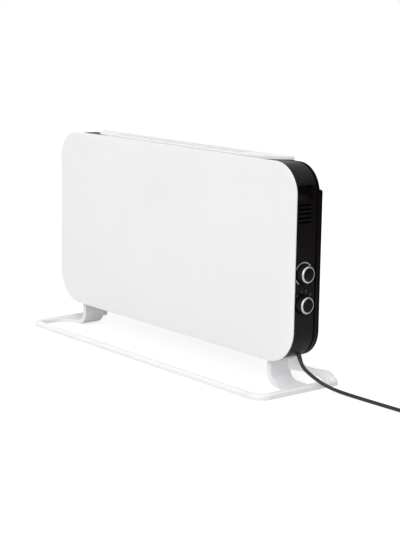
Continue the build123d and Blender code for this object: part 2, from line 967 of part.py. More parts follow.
def pad_places():
    """Pads under each foot: front corner, instep and rear end."""
    middle = rail_outer_x - rail_width / 2
    return (
        (middle, rail_corner - rail_reach + 4),
        (wall_x + instep_under_round + 16, (wall_front + wall_rear) / 2),
        (middle, rail_rear - 14),
    )


def front_tongue(extra):
    """Tongue of the front rail that enters the right foot."""
    low = foot_bottom + 2.5 - extra
    high = foot_bottom + rail_height - 2.5 + extra
    y0 = -rail_reach + 4 - extra
    y1 = -rail_reach + rail_width - 4 + extra
    return box((rail_joint_x - 1, y0, low), (rail_joint_x + tongue_length + extra, y1, high))


def foot():
    """Right foot; the left one is its mirror image."""
    body = foot_wall() + foot_rail() + foot_web()
    for y in foot_screw_ys:
        body -= rod_z(screw_radius + 0.3, foot_top - 12, foot_top + 1, foot_screw_x, y)
    body -= front_tongue(0.2)
    for x, y in pad_places():
        body -= rod_z(pad_radius + 0.1, foot_bottom - 1, pad_height, x, y)
    return solid(body)


def foot_pads():
    """Soft pads pressed into the underside of both feet."""
    pads = []
    for side in (-1, 1):
        for x, y in pad_places():
            pads.append(solid(rod_z(pad_radius, 0, pad_height, side * x, y)))
    return Compound(children=pads)


def foot_screws():
    """Four screws up through the foot flanges into the end caps."""
    screws = []
    under = foot_top - foot_flange_thickness
    for x in (-foot_screw_x, foot_screw_x):
        for y in foot_screw_ys:
            head = rod_z(3.4, under - 2, under, x, y)
            shank = rod_z(screw_radius, under - 1, case_bottom + 11, x, y)
            cross = box((x - 2, y - 0.4, under - 3), (x + 2, y + 0.4, under - 1))
            screws.append(solid(head + shank - cross))
    return Compound(children=screws)


def front_rail():
    """White rail across the front, with a tongue at each end."""
    middle = (-rail_reach + rail_width / 2, foot_bottom + rail_height / 2)
    section = Pos(*middle) * Rectangle(rail_width, rail_height)
    section = fillet(section.vertices().group_by(Axis.Y)[-1], rail_round)
    half = rail_joint_x - seam
    plane = Plane((-half, 0, 0), x_dir=(0, 1, 0), z_dir=(1, 0, 0))
    bar = extrude(plane * section, amount=2 * half)
    tongue = front_tongue(0)
    return solid(bar + tongue + mirror(tongue, Plane.YZ))


# mains cord: gland, free stretch, coil, tail and plug

gland_end = cord_diameter / 2 + 0.5


def gland_place():
    """Frame on the cap's lower corner: Z points out of the cap, square to it."""
    lean = asin(gland_offset / case_corner)
    out = (sin(lean), 0, -cos(lean))
    centre_x = end_x - case_corner
    centre_z = case_bottom + case_corner
    origin = (centre_x + case_corner * out[0], gland_y, centre_z + case_corner * out[2])
    return Plane(origin, x_dir=(0, 1, 0), z_dir=out)


def gland_rod(radius, start, stop):
    """Plain rod on the gland's axis."""
    return gland_place().location * (Pos(0, 0, (start + stop) / 2) * Cylinder(radius, stop - start))


def cord_gland():
    """Tapered sleeve, its collar held inside the cap."""
    shoulder = -cap_wall - collar_step - seam
    profile = [
        (0, -gland_in),
        (gland_collar, -gland_in),
        (gland_collar, shoulder),
        (gland_radius, shoulder),
        (gland_radius, 1.0),
        (gland_end + 0.3, gland_out - 5),
        (gland_end, gland_out),
        (0, gland_out),
    ]
    body = revolve(Plane.XZ * make_face(Polyline(*profile, close=True)), Axis.Z)
    return solid(gland_place().location * body)


def inner_cord():
    """Short stretch inside the cap, from the gland to the terminal block."""
    place = gland_place().location
    p0 = (place * Pos(0, 0, -gland_in)).position
    p1 = (place * Pos(0, 0, -gland_in - 12)).position
    entry = Vector(terminal_x + terminal_half, terminal_y, terminal_top - 5)
    p2 = entry + Vector(7, 0, 0)
    return solid(round_sweep([p0, p1, p2, entry], [6, 3], cord_diameter / 2 - 0.5)[1])


def cord_route():
    """Points of the free cord from the gland's mouth to the coil."""
    place = gland_place().location
    mouth = (place * Pos(0, 0, gland_out)).position
    below = (place * Pos(0, 0, gland_out + 8)).position
    start_y = coil_points()[0].Y
    return [
        (mouth.X, mouth.Y, mouth.Z),
        (below.X, below.Y, below.Z),
        (371.2, 45.4, 40.4),
        (378.2, 50.2, 33.0),
        (388.0, 57.0, 24.2),
        (400.6, 64.6, 15.4),
        (417.4, 72.2, 8.6),
        (441.0, 78.0, 4.8),
        (472.0, 80.4, 3.7),
        (513.0, 81.0, 3.6),
        (560.0, 81.3, 3.9),
        (608.0, start_y, coil_level(0)),
        (coil_x - cord_diameter, start_y, coil_level(0)),
    ]


def spread_radii(points):
    """Largest arc that each corner's two runs allow."""
    places = [Vector(*point) for point in points]
    radii = []
    for a, b, c in zip(places, places[1:], places[2:]):
        turn = radians((b - a).get_angle(c - b))
        run = min((b - a).length, (c - b).length)
        radii.append(0.45 * run / tan(turn / 2))
    return radii


def cord_tube(name, points):
    """Round cord along its route; prints its radii and its volume check."""
    radii = spread_radii(points)
    path, tube = round_sweep(points, radii, cord_diameter / 2)
    ideal = pi * (cord_diameter / 2) ** 2 * path.length
    print(name, "radii", [round(radius, 1) for radius in radii])
    print(name, "length", round(path.length, 1), "volume ratio", round(tube.volume / ideal, 5))
    return solid(tube)


def coil_level(layer):
    """Height of the cord's centre in a layer, above the tie's lower strand."""
    pitch = cord_diameter + coil_layer_gap
    return tie_thickness + seam + cord_diameter / 2 + layer * pitch


def coil_reach():
    """Distance from the coil's centre at the end of each half turn."""
    step = (cord_diameter + coil_turn_gap) / 2
    outer = coil_mid_radius + step / 2
    middle = outer - step
    inner = middle - step
    layers = [[outer + step, outer, middle, inner], [inner, middle, outer]]
    layers += [[outer, middle, inner], [inner, middle, outer]]
    return [(reach, layer) for layer, reaches in enumerate(layers) for reach in reaches]


def coil_points():
    """Ends of the half turns, on alternating sides of the coil."""
    points = []
    for n, (reach, layer) in enumerate(coil_reach()):
        side = -1 if n % 2 == 0 else 1
        points.append(Vector(coil_x, coil_y + side * reach, coil_level(layer)))
    return points


def half_turn(start, stop, side):
    """Half circle from start to stop that leaves and arrives along X."""
    middle = (start + stop) / 2
    radius = (stop - start).length / 2
    return ThreePointArc(start, middle + Vector(side * radius, 0, 0), stop)


def coil_path():
    """One unbroken line: straight lead, half turns, straight lead."""
    points = coil_points()
    lead = Vector(cord_diameter, 0, 0)
    edges = [Line(points[0] - lead, points[0])]
    for n, (start, stop) in enumerate(zip(points, points[1:])):
        side = 1 if n % 2 == 0 else -1
        edges.append(half_turn(start, stop, side))
    edges.append(Line(points[-1], points[-1] + lead))
    return Wire(edges)


def least_gap(path):
    """Least clear distance between neighbouring turns, measured on points."""
    count = 900
    places = [path.position_at(n / count) for n in range(count + 1)]
    skip = int(count * 2.6 * cord_diameter / path.length)
    least = path.length
    for n, place in enumerate(places):
        for other in places[n + skip :]:
            least = min(least, hypot(place.X - other.X, place.Y - other.Y, place.Z - other.Z))
    return least - cord_diameter


def cord_coil():
    """Put-away length of the cord, wound in four layers."""
    path = coil_path()
    start = Plane(origin=path.position_at(0), z_dir=path.tangent_at(0))
    tube = sweep(start * Circle(cord_diameter / 2), path=path)
    ideal = pi * (cord_diameter / 2) ** 2 * path.length
    print("coil length", round(path.length, 1), "volume ratio", round(tube.volume / ideal, 5))
    print("coil least gap", round(least_gap(path), 2))
    return solid(tube)


def coil_tie():
    """Strap round the whole bundle on the side away from the start."""
    reaches = [reach for reach, layer in coil_reach()]
    inner = min(reaches) - cord_diameter / 2 - 3 * seam
    outer = reaches[1] + cord_diameter / 2 + seam
    low = tie_thickness
    high = coil_level(3) + cord_diameter / 2 + seam
    middle = Pos((inner + outer) / 2, (low + high) / 2)
    hole = fillet(Rectangle(outer - inner, high - low).vertices(), 2.4)
    band = Rectangle(outer - inner + 2 * tie_thickness, high - low + 2 * tie_thickness)
    band = fillet(band.vertices(), 3.2)
    place = (coil_x - tie_width / 2, coil_y, 0)
    plane = Plane(place, x_dir=(0, 1, 0), z_dir=(1, 0, 0))
    return solid(extrude(plane * (middle * (band - hole)), amount=tie_width))


tail_length = 86.0
tail_drift = 1.9
tail_shares = (
    (0, 0, 0),
    (0.15, 0, 0),
    (0.35, 0.3, 0.16),
    (0.535, 0.75, 0.52),
    (0.71, 1, 0.86),
    (0.87, 1, 1),
    (1, 1, 1),
)


def tail_route():
    """Last stretch, down from the top of the coil to the plug."""
    start = coil_points()[-1]
    x0 = start.X + cord_diameter
    drop = start.Z - plug_radius
    return [
        (x0 + along * tail_length, start.Y - aside * tail_drift, start.Z - down * drop)
        for along, aside, down in tail_shares
    ]


def plug_body():
    """Moulded round plug with a tapered neck, lying on its side."""
    x, y, z = tail_route()[-1]
    neck = cord_diameter / 2 + 0.8
    length = plug_length
    profile = [
        (0, 0),
        (neck, 0),
        (neck + 1.6, 0.38 * length),
        (plug_radius - 6, 0.45 * length),
        (plug_radius - 1.5, 0.6 * length),
        (plug_radius, 0.75 * length),
        (plug_radius, length - 1),
        (plug_radius - 1, length),
        (0, length),
    ]
    body = turned_to_x(profile, x, y, z)
    for side in (-1, 1):
        pin_y = y + side * pin_spacing / 2
        body -= rod_x(pin_radius, x + length - 15, x + length + 1, pin_y, z)
    return solid(body)


def plug_pins():
    """Two round pins held in the plug."""
    x, y, z = tail_route()[-1]
    pins = []
    for side in (-1, 1):
        pin_y = y + side * pin_spacing / 2
        pin = rod_x(pin_radius, x + plug_length - 15, x + plug_length + pin_length, pin_y, z)
        pins.append(solid(chamfer(pin.faces().sort_by(Axis.X)[-1].edges(), 0.7)))
    return Compound(children=pins)


def nodes():
    """Every named piece of the heater."""
    right_foot = foot()
    low, high = element_heights()
    pieces = {
        "front_panel": front_panel(),
        "panel_brackets": panel_brackets(),
        "top_cover": top_cover(),
        "rear_cover": rear_cover(),
        "rear_screws": rear_screws(),
        "right_end_cap": end_cap(True),
        "left_end_cap": mirror(end_cap(False), Plane.YZ),
        "base_pan": base_pan(),
        "heat_shield": heat_shield(),
        "lower_element": heating_element(low),
        "upper_element": heating_element(high),
        "element_bracket_right": element_bracket(1),
        "element_bracket_left": element_bracket(-1),
        "element_bushes": element_bushes(),
        "overheat_cutout": overheat_cutout(),
        "cutout_clip": cutout_clip(),
        "control_plate": control_plate(),
        "plate_screws": plate_screws(),
        "terminal_block": terminal_block(),
        "internal_leads": internal_leads(),
        "right_foot": right_foot,
        "left_foot": mirror(right_foot, Plane.YZ),
        "front_rail": front_rail(),
        "foot_screws": foot_screws(),
        "foot_pads": foot_pads(),
        "cord_gland": cord_gland(),
        "inner_cord": inner_cord(),
        "power_cord": cord_tube("cord", cord_route()),
        "cord_coil": cord_coil(),
        "coil_tie": coil_tie(),
        "cord_tail": cord_tube("tail", tail_route()),
        "plug_body": plug_body(),
        "plug_pins": plug_pins(),
    }
    controls = (
        ("thermostat", knob_high, thermostat_depth),
        ("selector", knob_low, selector_depth),
    )
    for name, z, depth in controls:
        pieces[f"{name}_switch"] = switch_body(z, depth)
        pieces[f"{name}_spindle"] = spindle(z, depth)
        pieces[f"{name}_knob"] = knob(z)
        pieces[f"{name}_ring"] = knob_ring(z)
        pieces[f"{name}_disc"] = knob_disc(z)
    return pieces


# the frame's origin, on the floor under the middle of the heater

origin_x = (knob_face_x - rail_outer_x) / 2
origin_y = (rail_rear - rail_reach) / 2


def in_frame(shape):
    """Every solid of a piece, moved so that the origin is under the heater."""
    moved = [Pos(-origin_x, -origin_y, 0) * part for part in shape.solids()]
    return moved[0] if len(moved) == 1 else Compound(children=moved)


os.makedirs("parts", exist_ok=True)
for node, shape in nodes().items():
    export_step(in_frame(shape), f"parts/{node}.step")
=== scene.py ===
import math

import bmesh
import bpy
from mathutils import Euler, Matrix, Vector


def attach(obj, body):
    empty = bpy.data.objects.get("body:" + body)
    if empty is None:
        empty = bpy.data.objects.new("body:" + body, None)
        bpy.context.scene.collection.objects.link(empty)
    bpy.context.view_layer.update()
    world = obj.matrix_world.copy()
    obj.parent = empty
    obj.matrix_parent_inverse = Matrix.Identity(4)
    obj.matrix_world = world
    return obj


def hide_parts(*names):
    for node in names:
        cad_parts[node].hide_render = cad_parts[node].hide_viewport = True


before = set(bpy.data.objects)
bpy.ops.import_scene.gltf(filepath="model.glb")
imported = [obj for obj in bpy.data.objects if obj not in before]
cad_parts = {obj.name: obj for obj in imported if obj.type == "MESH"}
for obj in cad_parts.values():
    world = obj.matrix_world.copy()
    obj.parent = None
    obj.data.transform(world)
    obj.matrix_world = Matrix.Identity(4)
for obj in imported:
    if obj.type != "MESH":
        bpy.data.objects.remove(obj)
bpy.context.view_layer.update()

# The photographer's camera: one long lens from the control end, slightly above
# the heater and turned a little off level.

CAMERA_PLACE = (2.29116, -1.79772, 0.73536)
CAMERA_TURN = math.radians(50.89)
CAMERA_DIP = math.radians(10.725)
CAMERA_ROLL = math.radians(0.844)
LENS_MM = 97.72
FILM_WIDTH_MM = 36
SIGHT_RANGE = 60

camera_data = bpy.data.cameras.new("photo_camera")
camera_data.sensor_width = FILM_WIDTH_MM
camera_data.lens = LENS_MM
camera_data.clip_end = SIGHT_RANGE
camera = bpy.data.objects.new("photo_camera", camera_data)
bpy.context.scene.collection.objects.link(camera)
level = Euler((math.pi / 2 - CAMERA_DIP, 0, CAMERA_TURN)).to_matrix()
tilted = level @ Matrix.Rotation(CAMERA_ROLL, 3, "Z")
camera.matrix_world = Matrix.Translation(CAMERA_PLACE) @ tilted.to_4x4()
bpy.context.scene.camera = camera
bpy.context.scene.view_settings.view_transform = "Standard"

# Studio: white paper under the heater and white beyond it. Seen straight on, or
# mirrored in metal and plastic, both are paper white; the paper keeps shadows.
# The light is even daylight through two broad diffusers.

FLOOR_SIZE = 14
PAPER_TONE = (0.55, 0.55, 0.55, 1)
PAPER_GLOW = 0.68
ROOM_LIGHT = 0.46


def seen_directly(nodes, links):
    """1 for rays from the camera, a mirror or a clear body, otherwise 0."""
    path = nodes.new("ShaderNodeLightPath")
    total = path.outputs["Is Camera Ray"]
    for ray in ("Is Glossy Ray", "Is Transmission Ray"):
        either = nodes.new("ShaderNodeMath")
        either.operation = "MAXIMUM"
        links.new(total, either.inputs[0])
        links.new(path.outputs[ray], either.inputs[1])
        total = either.outputs[0]
    return total


bpy.ops.object.select_all(action="DESELECT")
bpy.ops.mesh.primitive_plane_add(size=FLOOR_SIZE, location=(0, 0, 0))
floor = bpy.context.object
floor.name = "paper_floor"
paper = bpy.data.materials.new("white_paper")
paper.use_nodes = True
nodes, links = paper.node_tree.nodes, paper.node_tree.links
nodes.clear()
matt = nodes.new("ShaderNodeBsdfDiffuse")
matt.inputs["Color"].default_value = PAPER_TONE
glow = nodes.new("ShaderNodeEmission")
glow.inputs["Color"].default_value = (1, 1, 1, 1)
strength = nodes.new("ShaderNodeMath")
strength.operation = "MULTIPLY"
strength.inputs[1].default_value = PAPER_GLOW
links.new(seen_directly(nodes, links), strength.inputs[0])
links.new(strength.outputs[0], glow.inputs["Strength"])
both = nodes.new("ShaderNodeAddShader")
links.new(matt.outputs[0], both.inputs[0])
links.new(glow.outputs[0], both.inputs[1])
surface = nodes.new("ShaderNodeOutputMaterial")
links.new(both.outputs[0], surface.inputs["Surface"])
floor.data.materials.append(paper)

world = bpy.data.worlds.new("white_studio")
world.use_nodes = True
bpy.context.scene.world = world
nodes, links = world.node_tree.nodes, world.node_tree.links
nodes.clear()
wall = nodes.new("ShaderNodeBackground")
wall.inputs["Color"].default_value = (1, 1, 1, 1)
brightness = nodes.new("ShaderNodeMapRange")
brightness.inputs["To Min"].default_value = ROOM_LIGHT
brightness.inputs["To Max"].default_value = 1
links.new(seen_directly(nodes, links), brightness.inputs["Value"])
links.new(brightness.outputs[0], wall.inputs["Strength"])
surface = nodes.new("ShaderNodeOutputWorld")
links.new(wall.outputs[0], surface.inputs["Surface"])


def diffuser(name, direction, spread, strength):
    """A broad even light from a direction, as wide as its spread in degrees."""
    lamp_data = bpy.data.lights.new(name, "SUN")
    lamp_data.angle = math.radians(spread)
    lamp_data.energy = strength
    lamp = bpy.data.objects.new(name, lamp_data)
    bpy.context.scene.collection.objects.link(lamp)
    lamp.rotation_euler = Vector(direction).to_track_quat("Z", "Y").to_euler()


diffuser("front_light", direction=(0.55, -1.0, 0.80), spread=70, strength=1.76)
diffuser("top_light", direction=(0.15, -0.1, 1.0), spread=80, strength=0.58)

# Black flag to the right and behind, out of the light's way: only what mirrors
# it sees it, and it keeps the black end of the heater dark.

FLAG_PLACE = (0.88, 0.41, 0.40)
FLAG_FACING = (-0.776, -0.63, 0)
FLAG_SIZE = (1.3, 0.66)
FLAG_TONE = (0.004, 0.004, 0.004, 1)

bpy.ops.object.select_all(action="DESELECT")
bpy.ops.mesh.primitive_plane_add(size=1, location=FLAG_PLACE)
flag = bpy.context.object
flag.name = "black_flag"
flag.rotation_euler = Vector(FLAG_FACING).to_track_quat("Z", "Y").to_euler()
flag.scale = (*FLAG_SIZE, 1)
cloth = bpy.data.materials.new("flag_cloth")
cloth.use_nodes = True
shader = cloth.node_tree.nodes["Principled BSDF"]
shader.inputs["Base Color"].default_value = FLAG_TONE
shader.inputs["Roughness"].default_value = 1
flag.data.materials.append(cloth)
flag.visible_camera = False
flag.visible_diffuse = False
flag.visible_shadow = False

# Mains lead: black round flexible cord, 7 mm thick. It leaves the lower corner
# of the control end, sags to the floor and runs off to the right; the rest is
# wound into a tied coil with the plug beside it.

CORD_DIAMETER = 0.007
CORD_MOUTH = (0.3562, 0.0235, 0.0545)
FREE_CORD = [
    CORD_MOUTH,
    (0.3599, 0.0235, 0.0475),
    (0.3652, 0.0259, 0.0404),
    (0.3722, 0.0307, 0.0330),
    (0.3820, 0.0375, 0.0242),
    (0.3946, 0.0451, 0.0154),
    (0.4114, 0.0527, 0.0086),
    (0.4350, 0.0585, 0.0048),
    (0.4660, 0.0609, 0.0037),
    (0.5070, 0.0615, 0.0036),
    (0.5540, 0.0618, 0.0039),
    (0.6020, 0.06175, 0.0046),
    (0.6470, 0.06175, 0.0046),
]
COIL_CENTRE = Vector((0.654, 0.1085, 0))
COIL_FIRST_LEVEL = 0.0046
COIL_LAYER = 0.0076
COIL_REACHES = [0.04675, 0.04225, 0.03775, 0.03325]
COIL_INWARDS = [(reach, 0) for reach in COIL_REACHES]
COIL_TURNS = COIL_INWARDS + [(reach, 1) for reach in COIL_REACHES[:0:-1]]
COIL_TURNS += [(reach, 2) for reach in COIL_REACHES[1:]]
COIL_TURNS += [(reach, 3) for reach in COIL_REACHES[:0:-1]]
COIL_STEPS = 7


def coil_ends():
    """Ends of the half turns, on alternating sides of the coil."""
    ends = []
    for n, (reach, layer) in enumerate(COIL_TURNS):
        side = -1 if n % 2 == 0 else 1
        height = COIL_FIRST_LEVEL + layer * COIL_LAYER
        ends.append(COIL_CENTRE + Vector((0, side * reach, height)))
    return ends


def wound_coil():
    """Fourteen points for each turn of the coil."""
    points = []
    ends = coil_ends()
    for n, (start, stop) in enumerate(zip(ends, ends[1:])):
        side = 1 if n % 2 == 0 else -1
        middle = (start + stop) / 2
        across = (stop - start) / 2
        bulge = Vector((side * across.length, 0, 0))
        for step in range(COIL_STEPS):
            angle = math.pi * (step + 0.5) / COIL_STEPS
            points.append(middle - across * math.cos(angle) + bulge * math.sin(angle))
    return points


coil_top = coil_ends()[-1]
TAIL = [
    coil_top + Vector((0.0070, 0, 0)),
    coil_top + Vector((0.0199, 0, 0)),
    coil_top + Vector((0.0371, -0.0006, -0.0015)),
    coil_top + Vector((0.0530, -0.0014, -0.0049)),
    coil_top + Vector((0.0680, -0.0019, -0.0081)),
    coil_top + Vector((0.0818, -0.0019, -0.0094)),
    coil_top + Vector((0.0930, -0.0019, -0.0094)),
]
route = [Vector(point) for point in FREE_CORD] + wound_coil() + TAIL

curve = bpy.data.curves.new("mains_lead", "CURVE")
curve.dimensions = "3D"
curve.resolution_u = 6
curve.bevel_depth = 1
curve.bevel_resolution = 5
line = curve.splines.new("NURBS")
line.points.add(len(route) - 1)
for point, place in zip(line.points, route):
    point.co = (*place, 1)
    point.radius = CORD_DIAMETER / 2
line.order_u = 3
line.use_endpoint_u = True
mains_lead = bpy.data.objects.new("mains_lead", curve)
bpy.context.scene.collection.objects.link(mains_lead)
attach(mains_lead, "casing")
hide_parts("power_cord", "cord_coil", "cord_tail")

# Every finish is noise in object space: a tone and a gloss that wander, and a
# fine relief. A group gives the three, and each material sets its own scales.


def socket(group, name, way, value=None):
    """One named number socket on a shader group."""
    made = group.interface.new_socket(
        name=name, in_out=way, socket_type="NodeSocketFloat"
    )
    if value is not None:
        made.default_value = value


def new_group(name, **inputs):
    """An empty shader group with number inputs and tone, gloss and relief out."""
    group = bpy.data.node_groups.new(name, "ShaderNodeTree")
    for label, value in inputs.items():
        socket(group, label, "INPUT", value)
    for label in ("Tone", "Gloss", "Relief"):
        socket(group, label, "OUTPUT")
    start = group.nodes.new("NodeGroupInput")
    stop = group.nodes.new("NodeGroupOutput")
    return group, start, stop


def sum_of(nodes, links, first, second, share):
    """One value plus a share of another."""
    node = nodes.new("ShaderNodeMath")
    node.operation = "MULTIPLY_ADD"
    links.new(second, node.inputs[0])
    node.inputs[1].default_value = share
    links.new(first, node.inputs[2])
    return node.outputs[0]


def noise(nodes, links, place, scale, detail, roughness=0.5):
    """Cloud noise at a place, its scale taken from another socket."""
    node = nodes.new("ShaderNodeTexNoise")
    node.inputs["Detail"].default_value = detail
    node.inputs["Roughness"].default_value = roughness
    links.new(place, node.inputs["Vector"])
    links.new(scale, node.inputs["Scale"])
    return node.outputs["Fac"]


def finish_material(name, group, settings, tones, gloss, relief_mm, **plain):
    """A shader fed by one finish group: two tones, two roughnesses, a relief."""
    material = bpy.data.materials.new(name)
    material.use_nodes = True
    nodes, links = material.node_tree.nodes, material.node_tree.links
    shader = nodes["Principled BSDF"]
    for label, value in plain.items():
        shader.inputs[label.replace("_", " ")].default_value = value
    finish = nodes.new("ShaderNodeGroup")
    finish.node_tree = group
    for label, value in settings.items():
        finish.inputs[label].default_value = value
    colour = nodes.new("ShaderNodeMix")
    colour.data_type = "RGBA"
    links.new(finish.outputs["Tone"], colour.inputs["Factor"])
    colour.inputs["A"].default_value = (*tones[0], 1)
    colour.inputs["B"].default_value = (*tones[1], 1)
    links.new(colour.outputs["Result"], shader.inputs["Base Color"])
    shine = nodes.new("ShaderNodeMapRange")
    links.new(finish.outputs["Gloss"], shine.inputs["Value"])
    shine.inputs["To Min"].default_value = gloss[0]
    shine.inputs["To Max"].default_value = gloss[1]
    links.new(shine.outputs["Result"], shader.inputs["Roughness"])
    bump = nodes.new("ShaderNodeBump")
    bump.inputs["Distance"].default_value = relief_mm / 1000
    links.new(finish.outputs["Relief"], bump.inputs["Height"])
    links.new(bump.outputs["Normal"], shader.inputs["Normal"])
    return material


def spread_out(nodes, links, value, low=0.3, high=0.7):
    """Stretches the part of a noise between two levels to 0 and 1."""
    node = nodes.new("ShaderNodeMapRange")
    node.inputs["From Min"].default_value = low
    node.inputs["From Max"].default_value = high
    links.new(value, node.inputs["Value"])
    return node.outputs["Result"]


moulded_skin, start, stop = new_group("moulded_skin", Mottle=18, Marks=60, Grain=1500)
nodes, links = moulded_skin.nodes, moulded_skin.links
place = nodes.new("ShaderNodeTexCoord").outputs["Object"]
mottle = noise(nodes, links, place, start.outputs["Mottle"], detail=4)
marks = noise(nodes, links, place, start.outputs["Marks"], detail=5, roughness=0.65)
grain = noise(nodes, links, place, start.outputs["Grain"], detail=2)
links.new(spread_out(nodes, links, mottle), stop.inputs["Tone"])
links.new(spread_out(nodes, links, marks, 0.35, 0.65), stop.inputs["Gloss"])
links.new(sum_of(nodes, links, grain, marks, share=0.25), stop.inputs["Relief"])

cord_black = finish_material(
    "cord_black",
    moulded_skin,
    {"Mottle": 40, "Marks": 160, "Grain": 2400},
    tones=((0.012, 0.0115, 0.012), (0.020, 0.019, 0.0195)),
    gloss=(0.42, 0.58),
    relief_mm=0.06,
    Specular_IOR_Level=0.35,
)
curve.materials.append(cord_black)

# Strain relief of the lead: a tapered sleeve with three bend grooves, moulded
# in black rubber and held in the end cap by its collar.

SEAM = 0.000001
CREASE = 30


def turned(name, profile, place, direction, sides, closed=False):
    """A piece turned from a circle, drawn out along its axis step by step."""
    bpy.ops.object.select_all(action="DESELECT")
    radius, height = profile[0]
    fill = "NOTHING" if closed else "NGON"
    bpy.ops.mesh.primitive_circle_add(
        vertices=sides, radius=radius, fill_type=fill, location=(0, 0, height)
    )
    piece = bpy.context.object
    piece.name = piece.data.name = name
    bpy.ops.object.transform_apply(location=True, rotation=True, scale=True)
    bpy.ops.object.mode_set(mode="EDIT")
    bpy.ops.mesh.select_mode(type="EDGE")
    bpy.ops.mesh.select_all(action="SELECT")
    steps = profile[1:] + (profile[:1] if closed else [])
    for new_radius, new_height in steps:
        bpy.ops.mesh.extrude_edges_move(
            TRANSFORM_OT_translate={"value": (0, 0, new_height - height)}
        )
        ratio = new_radius / radius
        bpy.ops.transform.resize(
            value=(ratio, ratio, 1), center_override=(0, 0, new_height)
        )
        radius, height = new_radius, new_height
    if not closed:
        bpy.ops.mesh.edge_face_add()
    bpy.ops.mesh.select_all(action="SELECT")
    bpy.ops.mesh.remove_doubles(threshold=SEAM)
    bpy.ops.mesh.normals_make_consistent(inside=False)
    bpy.ops.object.mode_set(mode="OBJECT")
    piece.rotation_euler = Vector(direction).to_track_quat("Z", "Y").to_euler()
    piece.location = place
    bpy.ops.object.transform_apply(location=True, rotation=True, scale=True)
    return piece


def smoothed(piece, degrees=CREASE):
    """Smooth shading, with creases kept at the sharp edges."""
    bpy.ops.object.select_all(action="DESELECT")
    piece.select_set(True)
    bpy.context.view_layer.objects.active = piece
    bpy.ops.object.shade_smooth_by_angle(angle=math.radians(degrees))
    return piece


def fitted(piece, body, slot, material, *nodes):
    """Finish, body and built nodes of a piece, all in one place."""
    piece.data.materials.clear()
    piece.data.materials.append(material)
    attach(piece, body)
    if nodes:
        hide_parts(*nodes)


GLAND_AXIS = Vector((0.472727, 0, -0.881209))
GLAND_SEAT = Vector((0.350, 0.0235, 0.0660335))
GLAND_SIDES = 48
COLLAR = [(0.0065, -0.009), (0.0065, -0.0035), (0.0048, -0.0035), (0.0048, 0.0008)]
GROOVES = 3
GROOVE_START = 0.0012
GROOVE_PITCH = 0.0032
SLEEVE_RADIUS = 0.0047
SLEEVE_TAPER = 0.0002
GROOVE_STEPS = [
    (0, 0),
    (0.0001, 0.0014),
    (0.0007, 0.0018),
    (0.0007, 0.0026),
    (0.0002, 0.0030),
]
SLEEVE_TIP = [(0.00410, 0.0108), (0.00400, 0.0127), (0.00375, 0.0130)]

gland_profile = list(COLLAR)
for groove in range(GROOVES):
    wide = SLEEVE_RADIUS - groove * SLEEVE_TAPER
    top = GROOVE_START + groove * GROOVE_PITCH
    gland_profile += [(wide - inward, top + down) for inward, down in GROOVE_STEPS]
gland_profile += SLEEVE_TIP
strain_relief = turned(
    "strain_relief", gland_profile, GLAND_SEAT, GLAND_AXIS, GLAND_SIDES
)
rubber_black = finish_material(
    "rubber_black",
    moulded_skin,
    {"Mottle": 60, "Marks": 200, "Grain": 2600},
    tones=((0.014, 0.014, 0.014), (0.022, 0.021, 0.021)),
    gloss=(0.5, 0.65),
    relief_mm=0.05,
)
fitted(smoothed(strain_relief), "casing", "cord_black", rubber_black, "cord_gland")


def dressed(material, *nodes):
    """Built pieces whose shape is right already: they only get a finish."""
    for node in nodes:
        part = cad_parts[node]
        part.data.materials.clear()
        part.data.materials.append(material)


dressed(rubber_black, "inner_cord", "coil_tie")

# Plug at the end of the lead: a round body moulded in black rubber on the cord,
# with two nickel-plated pins set in it.

PLUG_ROUND = 0.0008
BUILT_SEAM = 0.000002
FLAT_WITHIN = math.radians(0.5)
EDGE_STEPS = 2
LARGE_FACES_FIRST = 100


def softened(name, node, width):
    """A copy of a built piece, its seams merged and its edges rounded off."""
    bpy.ops.object.select_all(action="DESELECT")
    piece = bpy.data.objects.new(name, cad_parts[node].data.copy())
    piece.data.name = name
    bpy.context.scene.collection.objects.link(piece)
    piece.select_set(True)
    bpy.context.view_layer.objects.active = piece
    bpy.ops.mesh.customdata_custom_splitnormals_clear()
    bpy.ops.object.mode_set(mode="EDIT")
    bpy.ops.mesh.select_all(action="SELECT")
    bpy.ops.mesh.remove_doubles(threshold=BUILT_SEAM)
    bpy.ops.mesh.dissolve_limited(angle_limit=FLAT_WITHIN)
    bpy.ops.object.mode_set(mode="OBJECT")
    edge = piece.modifiers.new("soft_edges", "BEVEL")
    edge.width = width
    edge.segments = EDGE_STEPS
    edge.limit_method = "ANGLE"
    edge.angle_limit = math.radians(CREASE)
    bpy.ops.object.modifier_apply(modifier=edge.name)
    smoothed(piece)
    flat = piece.modifiers.new("flat_faces", "WEIGHTED_NORMAL")
    flat.keep_sharp = True
    flat.weight = LARGE_FACES_FIRST
    bpy.ops.object.modifier_apply(modifier=flat.name)
    return piece


mains_plug = softened("mains_plug", "plug_body", PLUG_ROUND)
fitted(mains_plug, "casing", "cord_black", rubber_black, "plug_body")

nickel = finish_material(
    "pin_nickel",
    moulded_skin,
    {"Mottle": 90, "Marks": 400, "Grain": 3000},
    tones=((0.66, 0.63, 0.58), (0.72, 0.70, 0.66)),
    gloss=(0.18, 0.32),
    relief_mm=0.002,
    Metallic=1.0,
)
dressed(nickel, "plug_pins")

# Base pan, heat shield and brackets: folded zinc-coated sheet, slotted below
# for the incoming air. The shield behind the panel is left bright.

